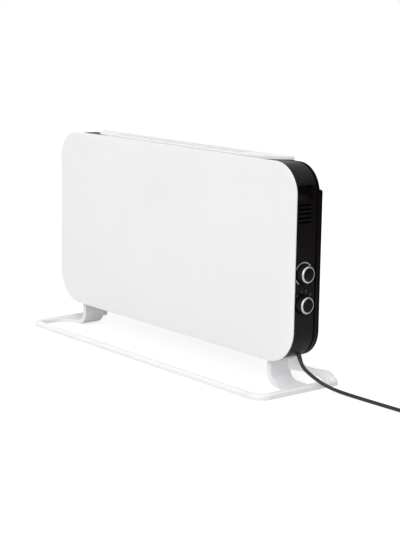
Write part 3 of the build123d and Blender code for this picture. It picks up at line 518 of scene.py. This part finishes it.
rolled_skin, start, stop = new_group(
    "rolled_skin", Spangle=90, Streaks=240, Stretch=0.04
)
nodes, links = rolled_skin.nodes, rolled_skin.links
place = nodes.new("ShaderNodeTexCoord").outputs["Object"]
spangle = nodes.new("ShaderNodeTexVoronoi")
links.new(place, spangle.inputs["Vector"])
links.new(start.outputs["Spangle"], spangle.inputs["Scale"])
stretch = nodes.new("ShaderNodeCombineXYZ")
links.new(start.outputs["Stretch"], stretch.inputs["X"])
stretch.inputs["Y"].default_value = 1
stretch.inputs["Z"].default_value = 1
drawn_out = nodes.new("ShaderNodeVectorMath")
drawn_out.operation = "MULTIPLY"
links.new(place, drawn_out.inputs[0])
links.new(stretch.outputs["Vector"], drawn_out.inputs[1])
streaks_place = drawn_out.outputs["Vector"]
streaks_scale = start.outputs["Streaks"]
streaks = noise(nodes, links, streaks_place, streaks_scale, detail=4, roughness=0.6)
patch = nodes.new("ShaderNodeSeparateColor")
links.new(spangle.outputs["Color"], patch.inputs["Color"])
links.new(patch.outputs["Red"], stop.inputs["Tone"])
links.new(spread_out(nodes, links, streaks), stop.inputs["Gloss"])
links.new(streaks, stop.inputs["Relief"])

sheet_steel = finish_material(
    "sheet_steel",
    rolled_skin,
    {"Spangle": 160, "Streaks": 300},
    tones=((0.42, 0.43, 0.44), (0.52, 0.53, 0.54)),
    gloss=(0.34, 0.5),
    relief_mm=0.02,
    Metallic=1.0,
)
shield_bright = finish_material(
    "shield_bright",
    rolled_skin,
    {"Spangle": 40, "Streaks": 500},
    tones=((0.74, 0.75, 0.76), (0.80, 0.81, 0.82)),
    gloss=(0.16, 0.28),
    relief_mm=0.01,
    Metallic=1.0,
)
dressed(sheet_steel, "base_pan", "panel_brackets", "element_bracket_left")
dressed(sheet_steel, "element_bracket_right", "control_plate", "cutout_clip")
dressed(shield_bright, "heat_shield")

# Heating elements: drawn aluminium with four long fins, warmed to a dull grey,
# carried at both ends in white ceramic bushes.

element_aluminium = finish_material(
    "element_aluminium",
    rolled_skin,
    {"Spangle": 14, "Streaks": 900, "Stretch": 0.01},
    tones=((0.46, 0.45, 0.44), (0.60, 0.59, 0.57)),
    gloss=(0.3, 0.48),
    relief_mm=0.03,
    Metallic=1.0,
)
bush_ceramic = finish_material(
    "bush_ceramic",
    moulded_skin,
    {"Mottle": 90, "Marks": 300, "Grain": 2600},
    tones=((0.62, 0.60, 0.55), (0.70, 0.68, 0.64)),
    gloss=(0.45, 0.62),
    relief_mm=0.05,
)
dressed(element_aluminium, "lower_element", "upper_element")
dressed(bush_ceramic, "element_bushes")

# Overheat cut-out, switches, terminal block and leads inside the control end:
# moulded housings, and wires in woven glass sleeves.

switch_plastic = finish_material(
    "switch_plastic",
    moulded_skin,
    {"Mottle": 60, "Marks": 240, "Grain": 1900},
    tones=((0.10, 0.052, 0.024), (0.14, 0.075, 0.038)),
    gloss=(0.36, 0.5),
    relief_mm=0.04,
)
terminal_plastic = finish_material(
    "terminal_plastic",
    moulded_skin,
    {"Mottle": 60, "Marks": 240, "Grain": 1900},
    tones=((0.60, 0.59, 0.55), (0.68, 0.67, 0.63)),
    gloss=(0.34, 0.46),
    relief_mm=0.04,
)
woven_sleeve, start, stop = new_group("woven_sleeve", Thread=1400, Mottle=60, Marks=200)
nodes, links = woven_sleeve.nodes, woven_sleeve.links
place = nodes.new("ShaderNodeTexCoord").outputs["Object"]
relief = None
for direction in ("DIAGONAL", "Y"):
    thread = nodes.new("ShaderNodeTexWave")
    thread.bands_direction = direction
    links.new(place, thread.inputs["Vector"])
    links.new(start.outputs["Thread"], thread.inputs["Scale"])
    wave = thread.outputs["Fac"]
    relief = sum_of(nodes, links, relief, wave, share=0.5) if relief else wave
mottle = noise(nodes, links, place, start.outputs["Mottle"], detail=3)
marks = noise(nodes, links, place, start.outputs["Marks"], detail=3)
links.new(spread_out(nodes, links, mottle), stop.inputs["Tone"])
links.new(spread_out(nodes, links, marks), stop.inputs["Gloss"])
links.new(relief, stop.inputs["Relief"])
lead_sleeve = finish_material(
    "lead_sleeve",
    woven_sleeve,
    {},
    tones=((0.55, 0.53, 0.47), (0.68, 0.66, 0.60)),
    gloss=(0.55, 0.75),
    relief_mm=0.12,
)
dressed(switch_plastic, "thermostat_switch", "selector_switch", "overheat_cutout")
dressed(terminal_plastic, "terminal_block")
dressed(lead_sleeve, "internal_leads")

# End caps: black mouldings over both ends of the casing, each with a grip
# scoop, five vent slits and a groove before the rear cover. Screwed from behind.

CAP_ROUND = 0.0005

cap_black = finish_material(
    "cap_black",
    moulded_skin,
    {"Mottle": 14, "Marks": 60, "Grain": 1500},
    tones=((0.0042, 0.0029, 0.0032), (0.0062, 0.0045, 0.0049)),
    gloss=(0.36, 0.46),
    relief_mm=0.05,
    Specular_IOR_Level=0.12,
)
for side in ("right", "left"):
    cap = softened(side + "_cap", side + "_end_cap", CAP_ROUND)
    fitted(cap, "casing", "cap_black", cap_black, side + "_end_cap")

# Rear cover: black painted sheet pan with two bands of louvres, closed by six
# pan-head screws.

PAN_ROUND = 0.0002

powder_skin, start, stop = new_group("powder_skin", Mottle=6, Marks=30, Peel=420)
nodes, links = powder_skin.nodes, powder_skin.links
place = nodes.new("ShaderNodeTexCoord").outputs["Object"]
mottle = noise(nodes, links, place, start.outputs["Mottle"], detail=3)
marks = noise(nodes, links, place, start.outputs["Marks"], detail=5, roughness=0.6)
peel = noise(nodes, links, place, start.outputs["Peel"], detail=2.5)
links.new(spread_out(nodes, links, mottle), stop.inputs["Tone"])
links.new(spread_out(nodes, links, marks, 0.35, 0.65), stop.inputs["Gloss"])
links.new(peel, stop.inputs["Relief"])

rear_black = finish_material(
    "rear_black",
    powder_skin,
    {"Mottle": 10, "Marks": 40, "Peel": 700},
    tones=((0.0028, 0.0021, 0.0022), (0.0040, 0.0032, 0.0033)),
    gloss=(0.40, 0.52),
    relief_mm=0.04,
    Specular_IOR_Level=0.07,
)
rear_pan = softened("rear_pan", "rear_cover", PAN_ROUND)
fitted(rear_pan, "casing", "rear_black", rear_black, "rear_cover")

screw_steel = finish_material(
    "screw_steel",
    rolled_skin,
    {"Spangle": 500, "Streaks": 900, "Stretch": 1.0},
    tones=((0.30, 0.30, 0.31), (0.40, 0.40, 0.41)),
    gloss=(0.28, 0.44),
    relief_mm=0.01,
    Metallic=1.0,
)
dressed(screw_steel, "rear_screws", "foot_screws", "plate_screws")

# Top cover: white coated steel tray over the outlet, with three rows of slots.
# Its rear skirt goes down behind the casing, and its swept ends are drawn in, so
# that the black caps show beside it.

CASING_X = -0.006
SWEEP_START = 0.2165
SWEEP_SHARE = 0.78
COVER_ROUND = 0.0002


def picked(piece, kind, test):
    """Enters edit mode with the faces or edges selected that pass a test."""
    bpy.ops.object.select_all(action="DESELECT")
    piece.select_set(True)
    bpy.context.view_layer.objects.active = piece
    bpy.ops.object.mode_set(mode="EDIT")
    bpy.ops.mesh.select_mode(type=kind)
    bpy.ops.mesh.select_all(action="DESELECT")
    mesh = bmesh.from_edit_mesh(piece.data)
    mesh.normal_update()
    for item in mesh.faces if kind == "FACE" else mesh.edges:
        item.select_set(test(item))
    mesh.select_flush_mode()
    bmesh.update_edit_mesh(piece.data)


cover_white = finish_material(
    "cover_white",
    powder_skin,
    {"Mottle": 7, "Marks": 30, "Peel": 520},
    tones=((0.86, 0.86, 0.86), (0.89, 0.89, 0.89)),
    gloss=(0.40, 0.50),
    relief_mm=0.03,
)
outlet_cover = softened("outlet_cover", "top_cover", COVER_ROUND)
for side in (1, -1):
    picked(
        outlet_cover,
        "FACE",
        lambda f: min(side * (v.co.x - CASING_X) for v in f.verts) > SWEEP_START,
    )
    bpy.ops.transform.resize(
        value=(SWEEP_SHARE, 1, 1),
        center_override=(CASING_X + side * SWEEP_START, 0, 0),
    )
    bpy.ops.object.mode_set(mode="OBJECT")
fitted(outlet_cover, "casing", "panel_white", cover_white, "top_cover")

# Front panel: one white coated steel sheet with four big corners. Its edge is
# rolled over and folded back as a hem; two strips hold it off the casing.

PANEL_MIDDLE = (CASING_X, -0.0183, 0.243)
PANEL_SIZE = (0.770, 0.0024, 0.380)
CORNER_HIGH = 0.060
CORNER_LOW = 0.067
CORNER_STEPS = 40
PANEL_SHEET = 0.001
HEM = 0.008
PANEL_CREASE = 25
ALONG = 0.999
FACING = 0.9


def block(name, place, size):
    """A plain block to start a piece from."""
    bpy.ops.object.select_all(action="DESELECT")
    bpy.ops.mesh.primitive_cube_add(size=1, location=place, scale=size)
    piece = bpy.context.object
    piece.name = piece.data.name = name
    bpy.ops.object.transform_apply(location=True, rotation=True, scale=True)
    return piece


def middle_of(edge):
    """Half way along an edge."""
    return (edge.verts[0].co + edge.verts[1].co) / 2


def runs_along(edge, axis):
    """True for an edge parallel to an axis, 0 to 2 for X to Z."""
    way = edge.verts[1].co - edge.verts[0].co
    return abs(way[axis]) > ALONG * way.length


panel = block("panel_sheet", PANEL_MIDDLE, PANEL_SIZE)
for high, radius in ((True, CORNER_HIGH), (False, CORNER_LOW)):
    picked(
        panel,
        "EDGE",
        lambda e: runs_along(e, 1) and (middle_of(e).z > PANEL_MIDDLE[2]) == high,
    )
    bpy.ops.mesh.bevel(
        offset=radius, offset_type="OFFSET", segments=CORNER_STEPS, affect="EDGES"
    )
    bpy.ops.object.mode_set(mode="OBJECT")
picked(panel, "FACE", lambda f: f.normal.y < -FACING)
bpy.ops.mesh.region_to_loop()
bpy.ops.mesh.bevel(offset=PANEL_SHEET, segments=4, affect="EDGES")
bpy.ops.object.mode_set(mode="OBJECT")
picked(panel, "FACE", lambda f: f.normal.y > FACING)
bpy.ops.mesh.inset(thickness=HEM)
bpy.ops.mesh.extrude_region_move(
    TRANSFORM_OT_translate={"value": (0, PANEL_SHEET - PANEL_SIZE[1], 0)}
)
bpy.ops.object.mode_set(mode="OBJECT")

panel_white = finish_material(
    "panel_white",
    powder_skin,
    {"Mottle": 4, "Marks": 22, "Peel": 420},
    tones=((0.885, 0.885, 0.890), (0.915, 0.915, 0.915)),
    gloss=(0.36, 0.46),
    relief_mm=0.04,
)
fitted(
    smoothed(panel, PANEL_CREASE), "casing", "panel_white", panel_white, "front_panel"
)

# Control knobs: round black mouldings with a bright bevelled ring, a black face
# disc and a slim raised pointer, pushed on the flatted spindles. Both are alike,
# and only their pointers stand at different hours.

KNOB_Y = 0.0035
KNOB_HEIGHTS = {"thermostat": 0.228, "selector": 0.170}
KNOB_BACK_X = 0.3784
KNOB_SIDES = 96
KNOB_CREASE = 28
POINTER_CLOCK = {"thermostat": 210, "selector": -40.5}
POINTER_REACH = 0.0086
POINTER_SIZE = (0.0010, 0.0010, 0.0050)
POINTER_ROUND = 0.0003
POINTER_LEVEL = 0.0149

knob_profile = [
    (0.0160, 0.0000),
    (0.0176, 0.0000),
    (0.0180, 0.0004),
    (0.0180, 0.0022),
    (0.0179, 0.0032),
    (0.01745, 0.0112),
    (0.01725, 0.0120),
    (0.01680, 0.0125),
    (0.01620, 0.0127),
    (0.01560, 0.0127),
    (0.01560, 0.0120),
    (0.00600, 0.0120),
    (0.00600, 0.0000),
    (0.00303, 0.0000),
    (0.00303, 0.0102),
    (0.01533, 0.0102),
]
ring_profile = [
    (0.01265, 0.0121),
    (0.01555, 0.0121),
    (0.01580, 0.0127),
    (0.01578, 0.0130),
    (0.01565, 0.0132),
    (0.01320, 0.0153),
    (0.01305, 0.01535),
    (0.01285, 0.01535),
    (0.01270, 0.0152),
    (0.01265, 0.0150),
]
disc_profile = [
    (0.01260, 0.0121),
    (0.01260, 0.0145),
    (0.01250, 0.0147),
    (0.01220, 0.0148),
    (0.00900, 0.01495),
    (0.00500, 0.01505),
    (0.00150, 0.0151),
]

spun_skin, start, stop = new_group("spun_skin", Height=0.2, Turning=5200, Marks=260)
nodes, links = spun_skin.nodes, spun_skin.links
place = nodes.new("ShaderNodeTexCoord").outputs["Object"]
parts = nodes.new("ShaderNodeSeparateXYZ")
links.new(place, parts.inputs["Vector"])
across = nodes.new("ShaderNodeMath")
across.operation = "SUBTRACT"
links.new(parts.outputs["Y"], across.inputs[0])
across.inputs[1].default_value = KNOB_Y
upward = nodes.new("ShaderNodeMath")
upward.operation = "SUBTRACT"
links.new(parts.outputs["Z"], upward.inputs[0])
links.new(start.outputs["Height"], upward.inputs[1])
flat = nodes.new("ShaderNodeCombineXYZ")
links.new(across.outputs[0], flat.inputs["X"])
links.new(upward.outputs[0], flat.inputs["Y"])
reach = nodes.new("ShaderNodeVectorMath")
reach.operation = "LENGTH"
links.new(flat.outputs["Vector"], reach.inputs[0])
turning = nodes.new("ShaderNodeTexNoise")
turning.noise_dimensions = "1D"
turning.inputs["Detail"].default_value = 3
links.new(reach.outputs["Value"], turning.inputs["W"])
links.new(start.outputs["Turning"], turning.inputs["Scale"])
marks = noise(nodes, links, place, start.outputs["Marks"], detail=4, roughness=0.6)
links.new(spread_out(nodes, links, marks), stop.inputs["Tone"])
rings = turning.outputs["Fac"]
links.new(spread_out(nodes, links, rings), stop.inputs["Gloss"])
links.new(rings, stop.inputs["Relief"])

knob_black = finish_material(
    "knob_black",
    moulded_skin,
    {"Mottle": 90, "Marks": 240, "Grain": 2200},
    tones=((0.0040, 0.0032, 0.0034), (0.0060, 0.0050, 0.0053)),
    gloss=(0.34, 0.44),
    relief_mm=0.03,
    Specular_IOR_Level=0.11,
)
pointer_grey = finish_material(
    "pointer_grey",
    moulded_skin,
    {"Mottle": 90, "Marks": 240, "Grain": 2200},
    tones=((0.055, 0.053, 0.055), (0.075, 0.073, 0.075)),
    gloss=(0.36, 0.46),
    relief_mm=0.02,
    Specular_IOR_Level=0.2,
)


def copied(piece, name, shift):
    """A copy with its own mesh, set off from the first by a shift."""
    twin = piece.copy()
    twin.data = piece.data.copy()
    twin.name = twin.data.name = name
    bpy.context.scene.collection.objects.link(twin)
    bpy.ops.object.select_all(action="DESELECT")
    twin.select_set(True)
    bpy.context.view_layer.objects.active = twin
    bpy.ops.transform.translate(value=shift)
    bpy.ops.object.transform_apply(location=True, rotation=True, scale=True)
    return twin


knob_place = Vector((KNOB_BACK_X, KNOB_Y, KNOB_HEIGHTS["thermostat"]))
drop = Vector((0, 0, KNOB_HEIGHTS["selector"] - KNOB_HEIGHTS["thermostat"]))
knob_pieces = {"thermostat": [], "selector": []}
for piece_name, profile, closed in (
    ("grip", knob_profile, True),
    ("trim", ring_profile, True),
    ("face", disc_profile, False),
):
    name = "thermostat_" + piece_name
    piece = turned(name, profile, knob_place, (1, 0, 0), KNOB_SIDES, closed)
    knob_pieces["thermostat"].append(smoothed(piece, KNOB_CREASE))
for piece in knob_pieces["thermostat"]:
    name = piece.name.replace("thermostat", "selector")
    knob_pieces["selector"].append(copied(piece, name, drop))

for dial, (grip, trim, face) in knob_pieces.items():
    body = dial + "_dial"
    ring_silver = finish_material(
        dial + "_silver",
        spun_skin,
        {"Height": KNOB_HEIGHTS[dial]},
        tones=((0.40, 0.385, 0.39), (0.50, 0.485, 0.49)),
        gloss=(0.22, 0.34),
        relief_mm=0.006,
        Metallic=1.0,
    )
    face_black = finish_material(
        dial + "_face_black",
        spun_skin,
        {"Height": KNOB_HEIGHTS[dial], "Turning": 2600},
        tones=((0.0040, 0.0031, 0.0034), (0.0070, 0.0058, 0.0062)),
        gloss=(0.34, 0.5),
        relief_mm=0.02,
        Specular_IOR_Level=0.11,
    )
    fitted(grip, body, "knob_black", knob_black, dial + "_knob")
    fitted(trim, body, "ring_silver", ring_silver, dial + "_ring")
    fitted(face, body, "knob_black", face_black, dial + "_disc")
    pointer = block(dial + "_pointer", (0, 0, POINTER_REACH), POINTER_SIZE)
    picked(pointer, "FACE", lambda f: f.normal.x > FACING)
    bpy.ops.mesh.bevel(offset=POINTER_ROUND, segments=3, affect="EDGES")
    bpy.ops.object.mode_set(mode="OBJECT")
    pointer.rotation_euler = (-math.radians(POINTER_CLOCK[dial]), 0, 0)
    pointer.location = (KNOB_BACK_X + POINTER_LEVEL, KNOB_Y, KNOB_HEIGHTS[dial])
    bpy.ops.object.transform_apply(location=True, rotation=True, scale=True)
    fitted(smoothed(pointer), body, "knob_black", pointer_grey)
    dressed(screw_steel, dial + "_spindle")

# Scale round the upper knob in silver ink, and position numbers round the lower
# one in grey ink, both printed on the end cap. The scale runs up to its edge.

PRINT_X = 0.3790
INK = 0.00006
SCALE_START = math.radians(212)
SCALE_END = math.radians(418)
SCALE_INNER = 0.0203
SCALE_OUTER = 0.0223
SCALE_SIDES = 144
CLOCK_BREAK = math.radians(120)
CAP_EDGE_Y = -0.0164
NUMBER_SIZE = 0.0064
NUMBER_WEIGHT = 0.00005
NUMBER_SEAM = 0.0000001
NUMBER_PLACES = (
    (-0.0113, 0.1873),
    (0.0003, 0.1946),
    (0.0105, 0.1942),
    (0.0221, 0.1869),
)

silver_ink = finish_material(
    "silver_ink",
    moulded_skin,
    {"Mottle": 120, "Marks": 500, "Grain": 3500},
    tones=((0.46, 0.45, 0.46), (0.56, 0.55, 0.56)),
    gloss=(0.4, 0.5),
    relief_mm=0.01,
    Metallic=0.3,
)


def clock_angle(point, height):
    """Angle clockwise from the top about a knob, counted on past a full turn."""
    angle = math.atan2(point.y - KNOB_Y, point.z - height) % (2 * math.pi)
    return angle if angle > CLOCK_BREAK else angle + 2 * math.pi


ink_band = [(SCALE_INNER, 0), (SCALE_OUTER, 0), (SCALE_OUTER, INK), (SCALE_INNER, INK)]
scale_place = (PRINT_X, KNOB_Y, KNOB_HEIGHTS["thermostat"])
scale = turned(
    "scale_print", ink_band, scale_place, (1, 0, 0), SCALE_SIDES, closed=True
)


def off_scale(face):
    """True for the part of the ring that carries no print."""
    angle = clock_angle(face.calc_center_median(), scale_place[2])
    past_edge = KNOB_Y + SCALE_OUTER * math.sin(angle) < CAP_EDGE_Y
    return past_edge or not SCALE_START < angle < SCALE_END


picked(scale, "FACE", off_scale)
bpy.ops.mesh.delete(type="FACE")
bpy.ops.mesh.select_all(action="SELECT")
bpy.ops.mesh.fill_holes(sides=4)
bpy.ops.object.mode_set(mode="OBJECT")
fitted(scale, "casing", "ring_silver", silver_ink)

grey_ink = finish_material(
    "grey_ink",
    moulded_skin,
    {"Mottle": 120, "Marks": 500, "Grain": 3500},
    tones=((0.15, 0.145, 0.15), (0.21, 0.205, 0.21)),
    gloss=(0.4, 0.5),
    relief_mm=0.01,
)
for number, (y, z) in enumerate(NUMBER_PLACES):
    bpy.ops.object.select_all(action="DESELECT")
    bpy.ops.object.text_add(
        location=(PRINT_X, y, z), rotation=(math.pi / 2, 0, math.pi / 2)
    )
    sign = bpy.context.object
    sign.data.body = str(number)
    sign.data.size = NUMBER_SIZE
    sign.data.align_x = "CENTER"
    sign.data.align_y = "CENTER"
    sign.data.extrude = INK / 2
    sign.data.offset = NUMBER_WEIGHT
    bpy.ops.object.convert(target="MESH")
    sign = bpy.context.object
    sign.name = sign.data.name = "number_" + str(number)
    bpy.ops.object.transform_apply(location=True, rotation=True, scale=True)
    bpy.ops.object.mode_set(mode="EDIT")
    bpy.ops.mesh.select_all(action="SELECT")
    bpy.ops.mesh.remove_doubles(threshold=NUMBER_SEAM)
    bpy.ops.mesh.normals_make_consistent(inside=False)
    bpy.ops.object.mode_set(mode="OBJECT")
    fitted(sign, "casing", "ring_silver", grey_ink)

# Feet: white mouldings, each a wall, a curved instep, a floor rail and a rear
# web round an open gap, screwed up into the end caps. A gusset fills the corner
# over each web, and a domed heel closes the rear end of each floor rail.

FOOT_ROUND = 0.0012
WEB_FROM = Vector((0.3030, 0.0375, 0))
WEB_TO = Vector((0.3740, 0.0955, 0))
WEB_THICKNESS = 0.0090
GUSSET_SETBACK = 0.0001
GUSSET_SIZE = (0.034, WEB_THICKNESS - 2 * GUSSET_SETBACK, 0.0286)
GUSSET_MIDDLE = (0.021, 0, 0.0449)
GUSSET_ROUND = 0.0008
SHARP = 0.5
# Corners of the gusset's rear edge: the way along the web, and the height.
GUSSET_LOW = (0.0400, 0.0330)
GUSSET_BEND = (0.0285, 0.0450)
GUSSET_HIGH = (0.0232, 0.0592)
HEEL_SIDES = 48
HEEL_PLACE = Vector((0.3740, 0.0925, 0.001))
heel_profile = [
    (0.0040, 0.0),
    (0.0078, 0.0),
    (0.0080, 0.0004),
    (0.0080, 0.0085),
    (0.0077, 0.0105),
    (0.0068, 0.0124),
    (0.0052, 0.0138),
    (0.0030, 0.0146),
    (0.0010, 0.0148),
]

stand_white = finish_material(
    "stand_white",
    moulded_skin,
    {"Mottle": 10, "Marks": 50, "Grain": 1100},
    tones=((0.86, 0.865, 0.885), (0.90, 0.905, 0.92)),
    gloss=(0.38, 0.48),
    relief_mm=0.04,
)
way = (WEB_TO - WEB_FROM).normalized()
for side, hand in (("right", 1), ("left", -1)):
    foot = softened(side + "_stand", side + "_foot", FOOT_ROUND)
    fitted(foot, "casing", "stand_white", stand_white, side + "_foot")
    gusset = block(side + "_gusset", GUSSET_MIDDLE, GUSSET_SIZE)
    bpy.ops.object.mode_set(mode="EDIT")
    for low, high in ((GUSSET_LOW, GUSSET_BEND), (GUSSET_BEND, GUSSET_HIGH)):
        bpy.ops.mesh.select_all(action="SELECT")
        bpy.ops.mesh.bisect(
            plane_co=(low[0], 0, low[1]),
            plane_no=(high[1] - low[1], 0, low[0] - high[0]),
            use_fill=True,
            clear_outer=True,
        )
    bpy.ops.object.mode_set(mode="OBJECT")
    picked(gusset, "EDGE", lambda e: e.calc_face_angle(0) > SHARP)
    bpy.ops.mesh.bevel(offset=GUSSET_ROUND, segments=3, affect="EDGES")
    bpy.ops.object.mode_set(mode="OBJECT")
    gusset.rotation_euler = (0, 0, math.atan2(way.y, hand * way.x))
    gusset.location = (CASING_X + hand * (WEB_FROM.x - CASING_X), WEB_FROM.y, 0)
    bpy.ops.object.transform_apply(location=True, rotation=True, scale=True)
    fitted(smoothed(gusset), "casing", "stand_white", stand_white)

heel = smoothed(turned("right_heel", heel_profile, HEEL_PLACE, (0, 0, 1), HEEL_SIDES))
across = Vector((2 * (CASING_X - HEEL_PLACE.x), 0, 0))
for piece in (heel, copied(heel, "left_heel", across)):
    fitted(piece, "casing", "stand_white", stand_white)

# Front rail: white bar with rounded upper edges; a tongue at each end plugs
# into a foot.

RAIL_MIDDLE = (CASING_X, -0.0945, 0.006)
RAIL_SIZE = (0.6894, 0.016, 0.010)
RAIL_ROUND = 0.0035
TONGUE_MARGIN = 0.0025
TONGUE_NARROWING = 8 / 11
TONGUE_LENGTH = 0.0173

rail = block("front_bar", RAIL_MIDDLE, RAIL_SIZE)
picked(rail, "EDGE", lambda e: runs_along(e, 0) and middle_of(e).z > RAIL_MIDDLE[2])
bpy.ops.mesh.bevel(offset=RAIL_ROUND, offset_type="OFFSET", segments=8, affect="EDGES")
bpy.ops.object.mode_set(mode="OBJECT")
picked(rail, "FACE", lambda f: abs(f.normal.x) > FACING)
bpy.ops.mesh.inset(thickness=TONGUE_MARGIN)
bpy.ops.transform.resize(value=(1, TONGUE_NARROWING, 1), center_override=RAIL_MIDDLE)
bpy.ops.mesh.extrude_faces_move(TRANSFORM_OT_shrink_fatten={"value": TONGUE_LENGTH})
bpy.ops.object.mode_set(mode="OBJECT")
fitted(smoothed(rail), "casing", "stand_white", stand_white, "front_rail")

# Rubber pads: thin grey discs pressed into the underside of both feet. The
# heater stands on them alone.

pad_rubber = finish_material(
    "pad_rubber",
    moulded_skin,
    {"Mottle": 60, "Marks": 200, "Grain": 2600},
    tones=((0.10, 0.10, 0.10), (0.13, 0.13, 0.13)),
    gloss=(0.6, 0.75),
    relief_mm=0.05,
)
dressed(pad_rubber, "foot_pads")
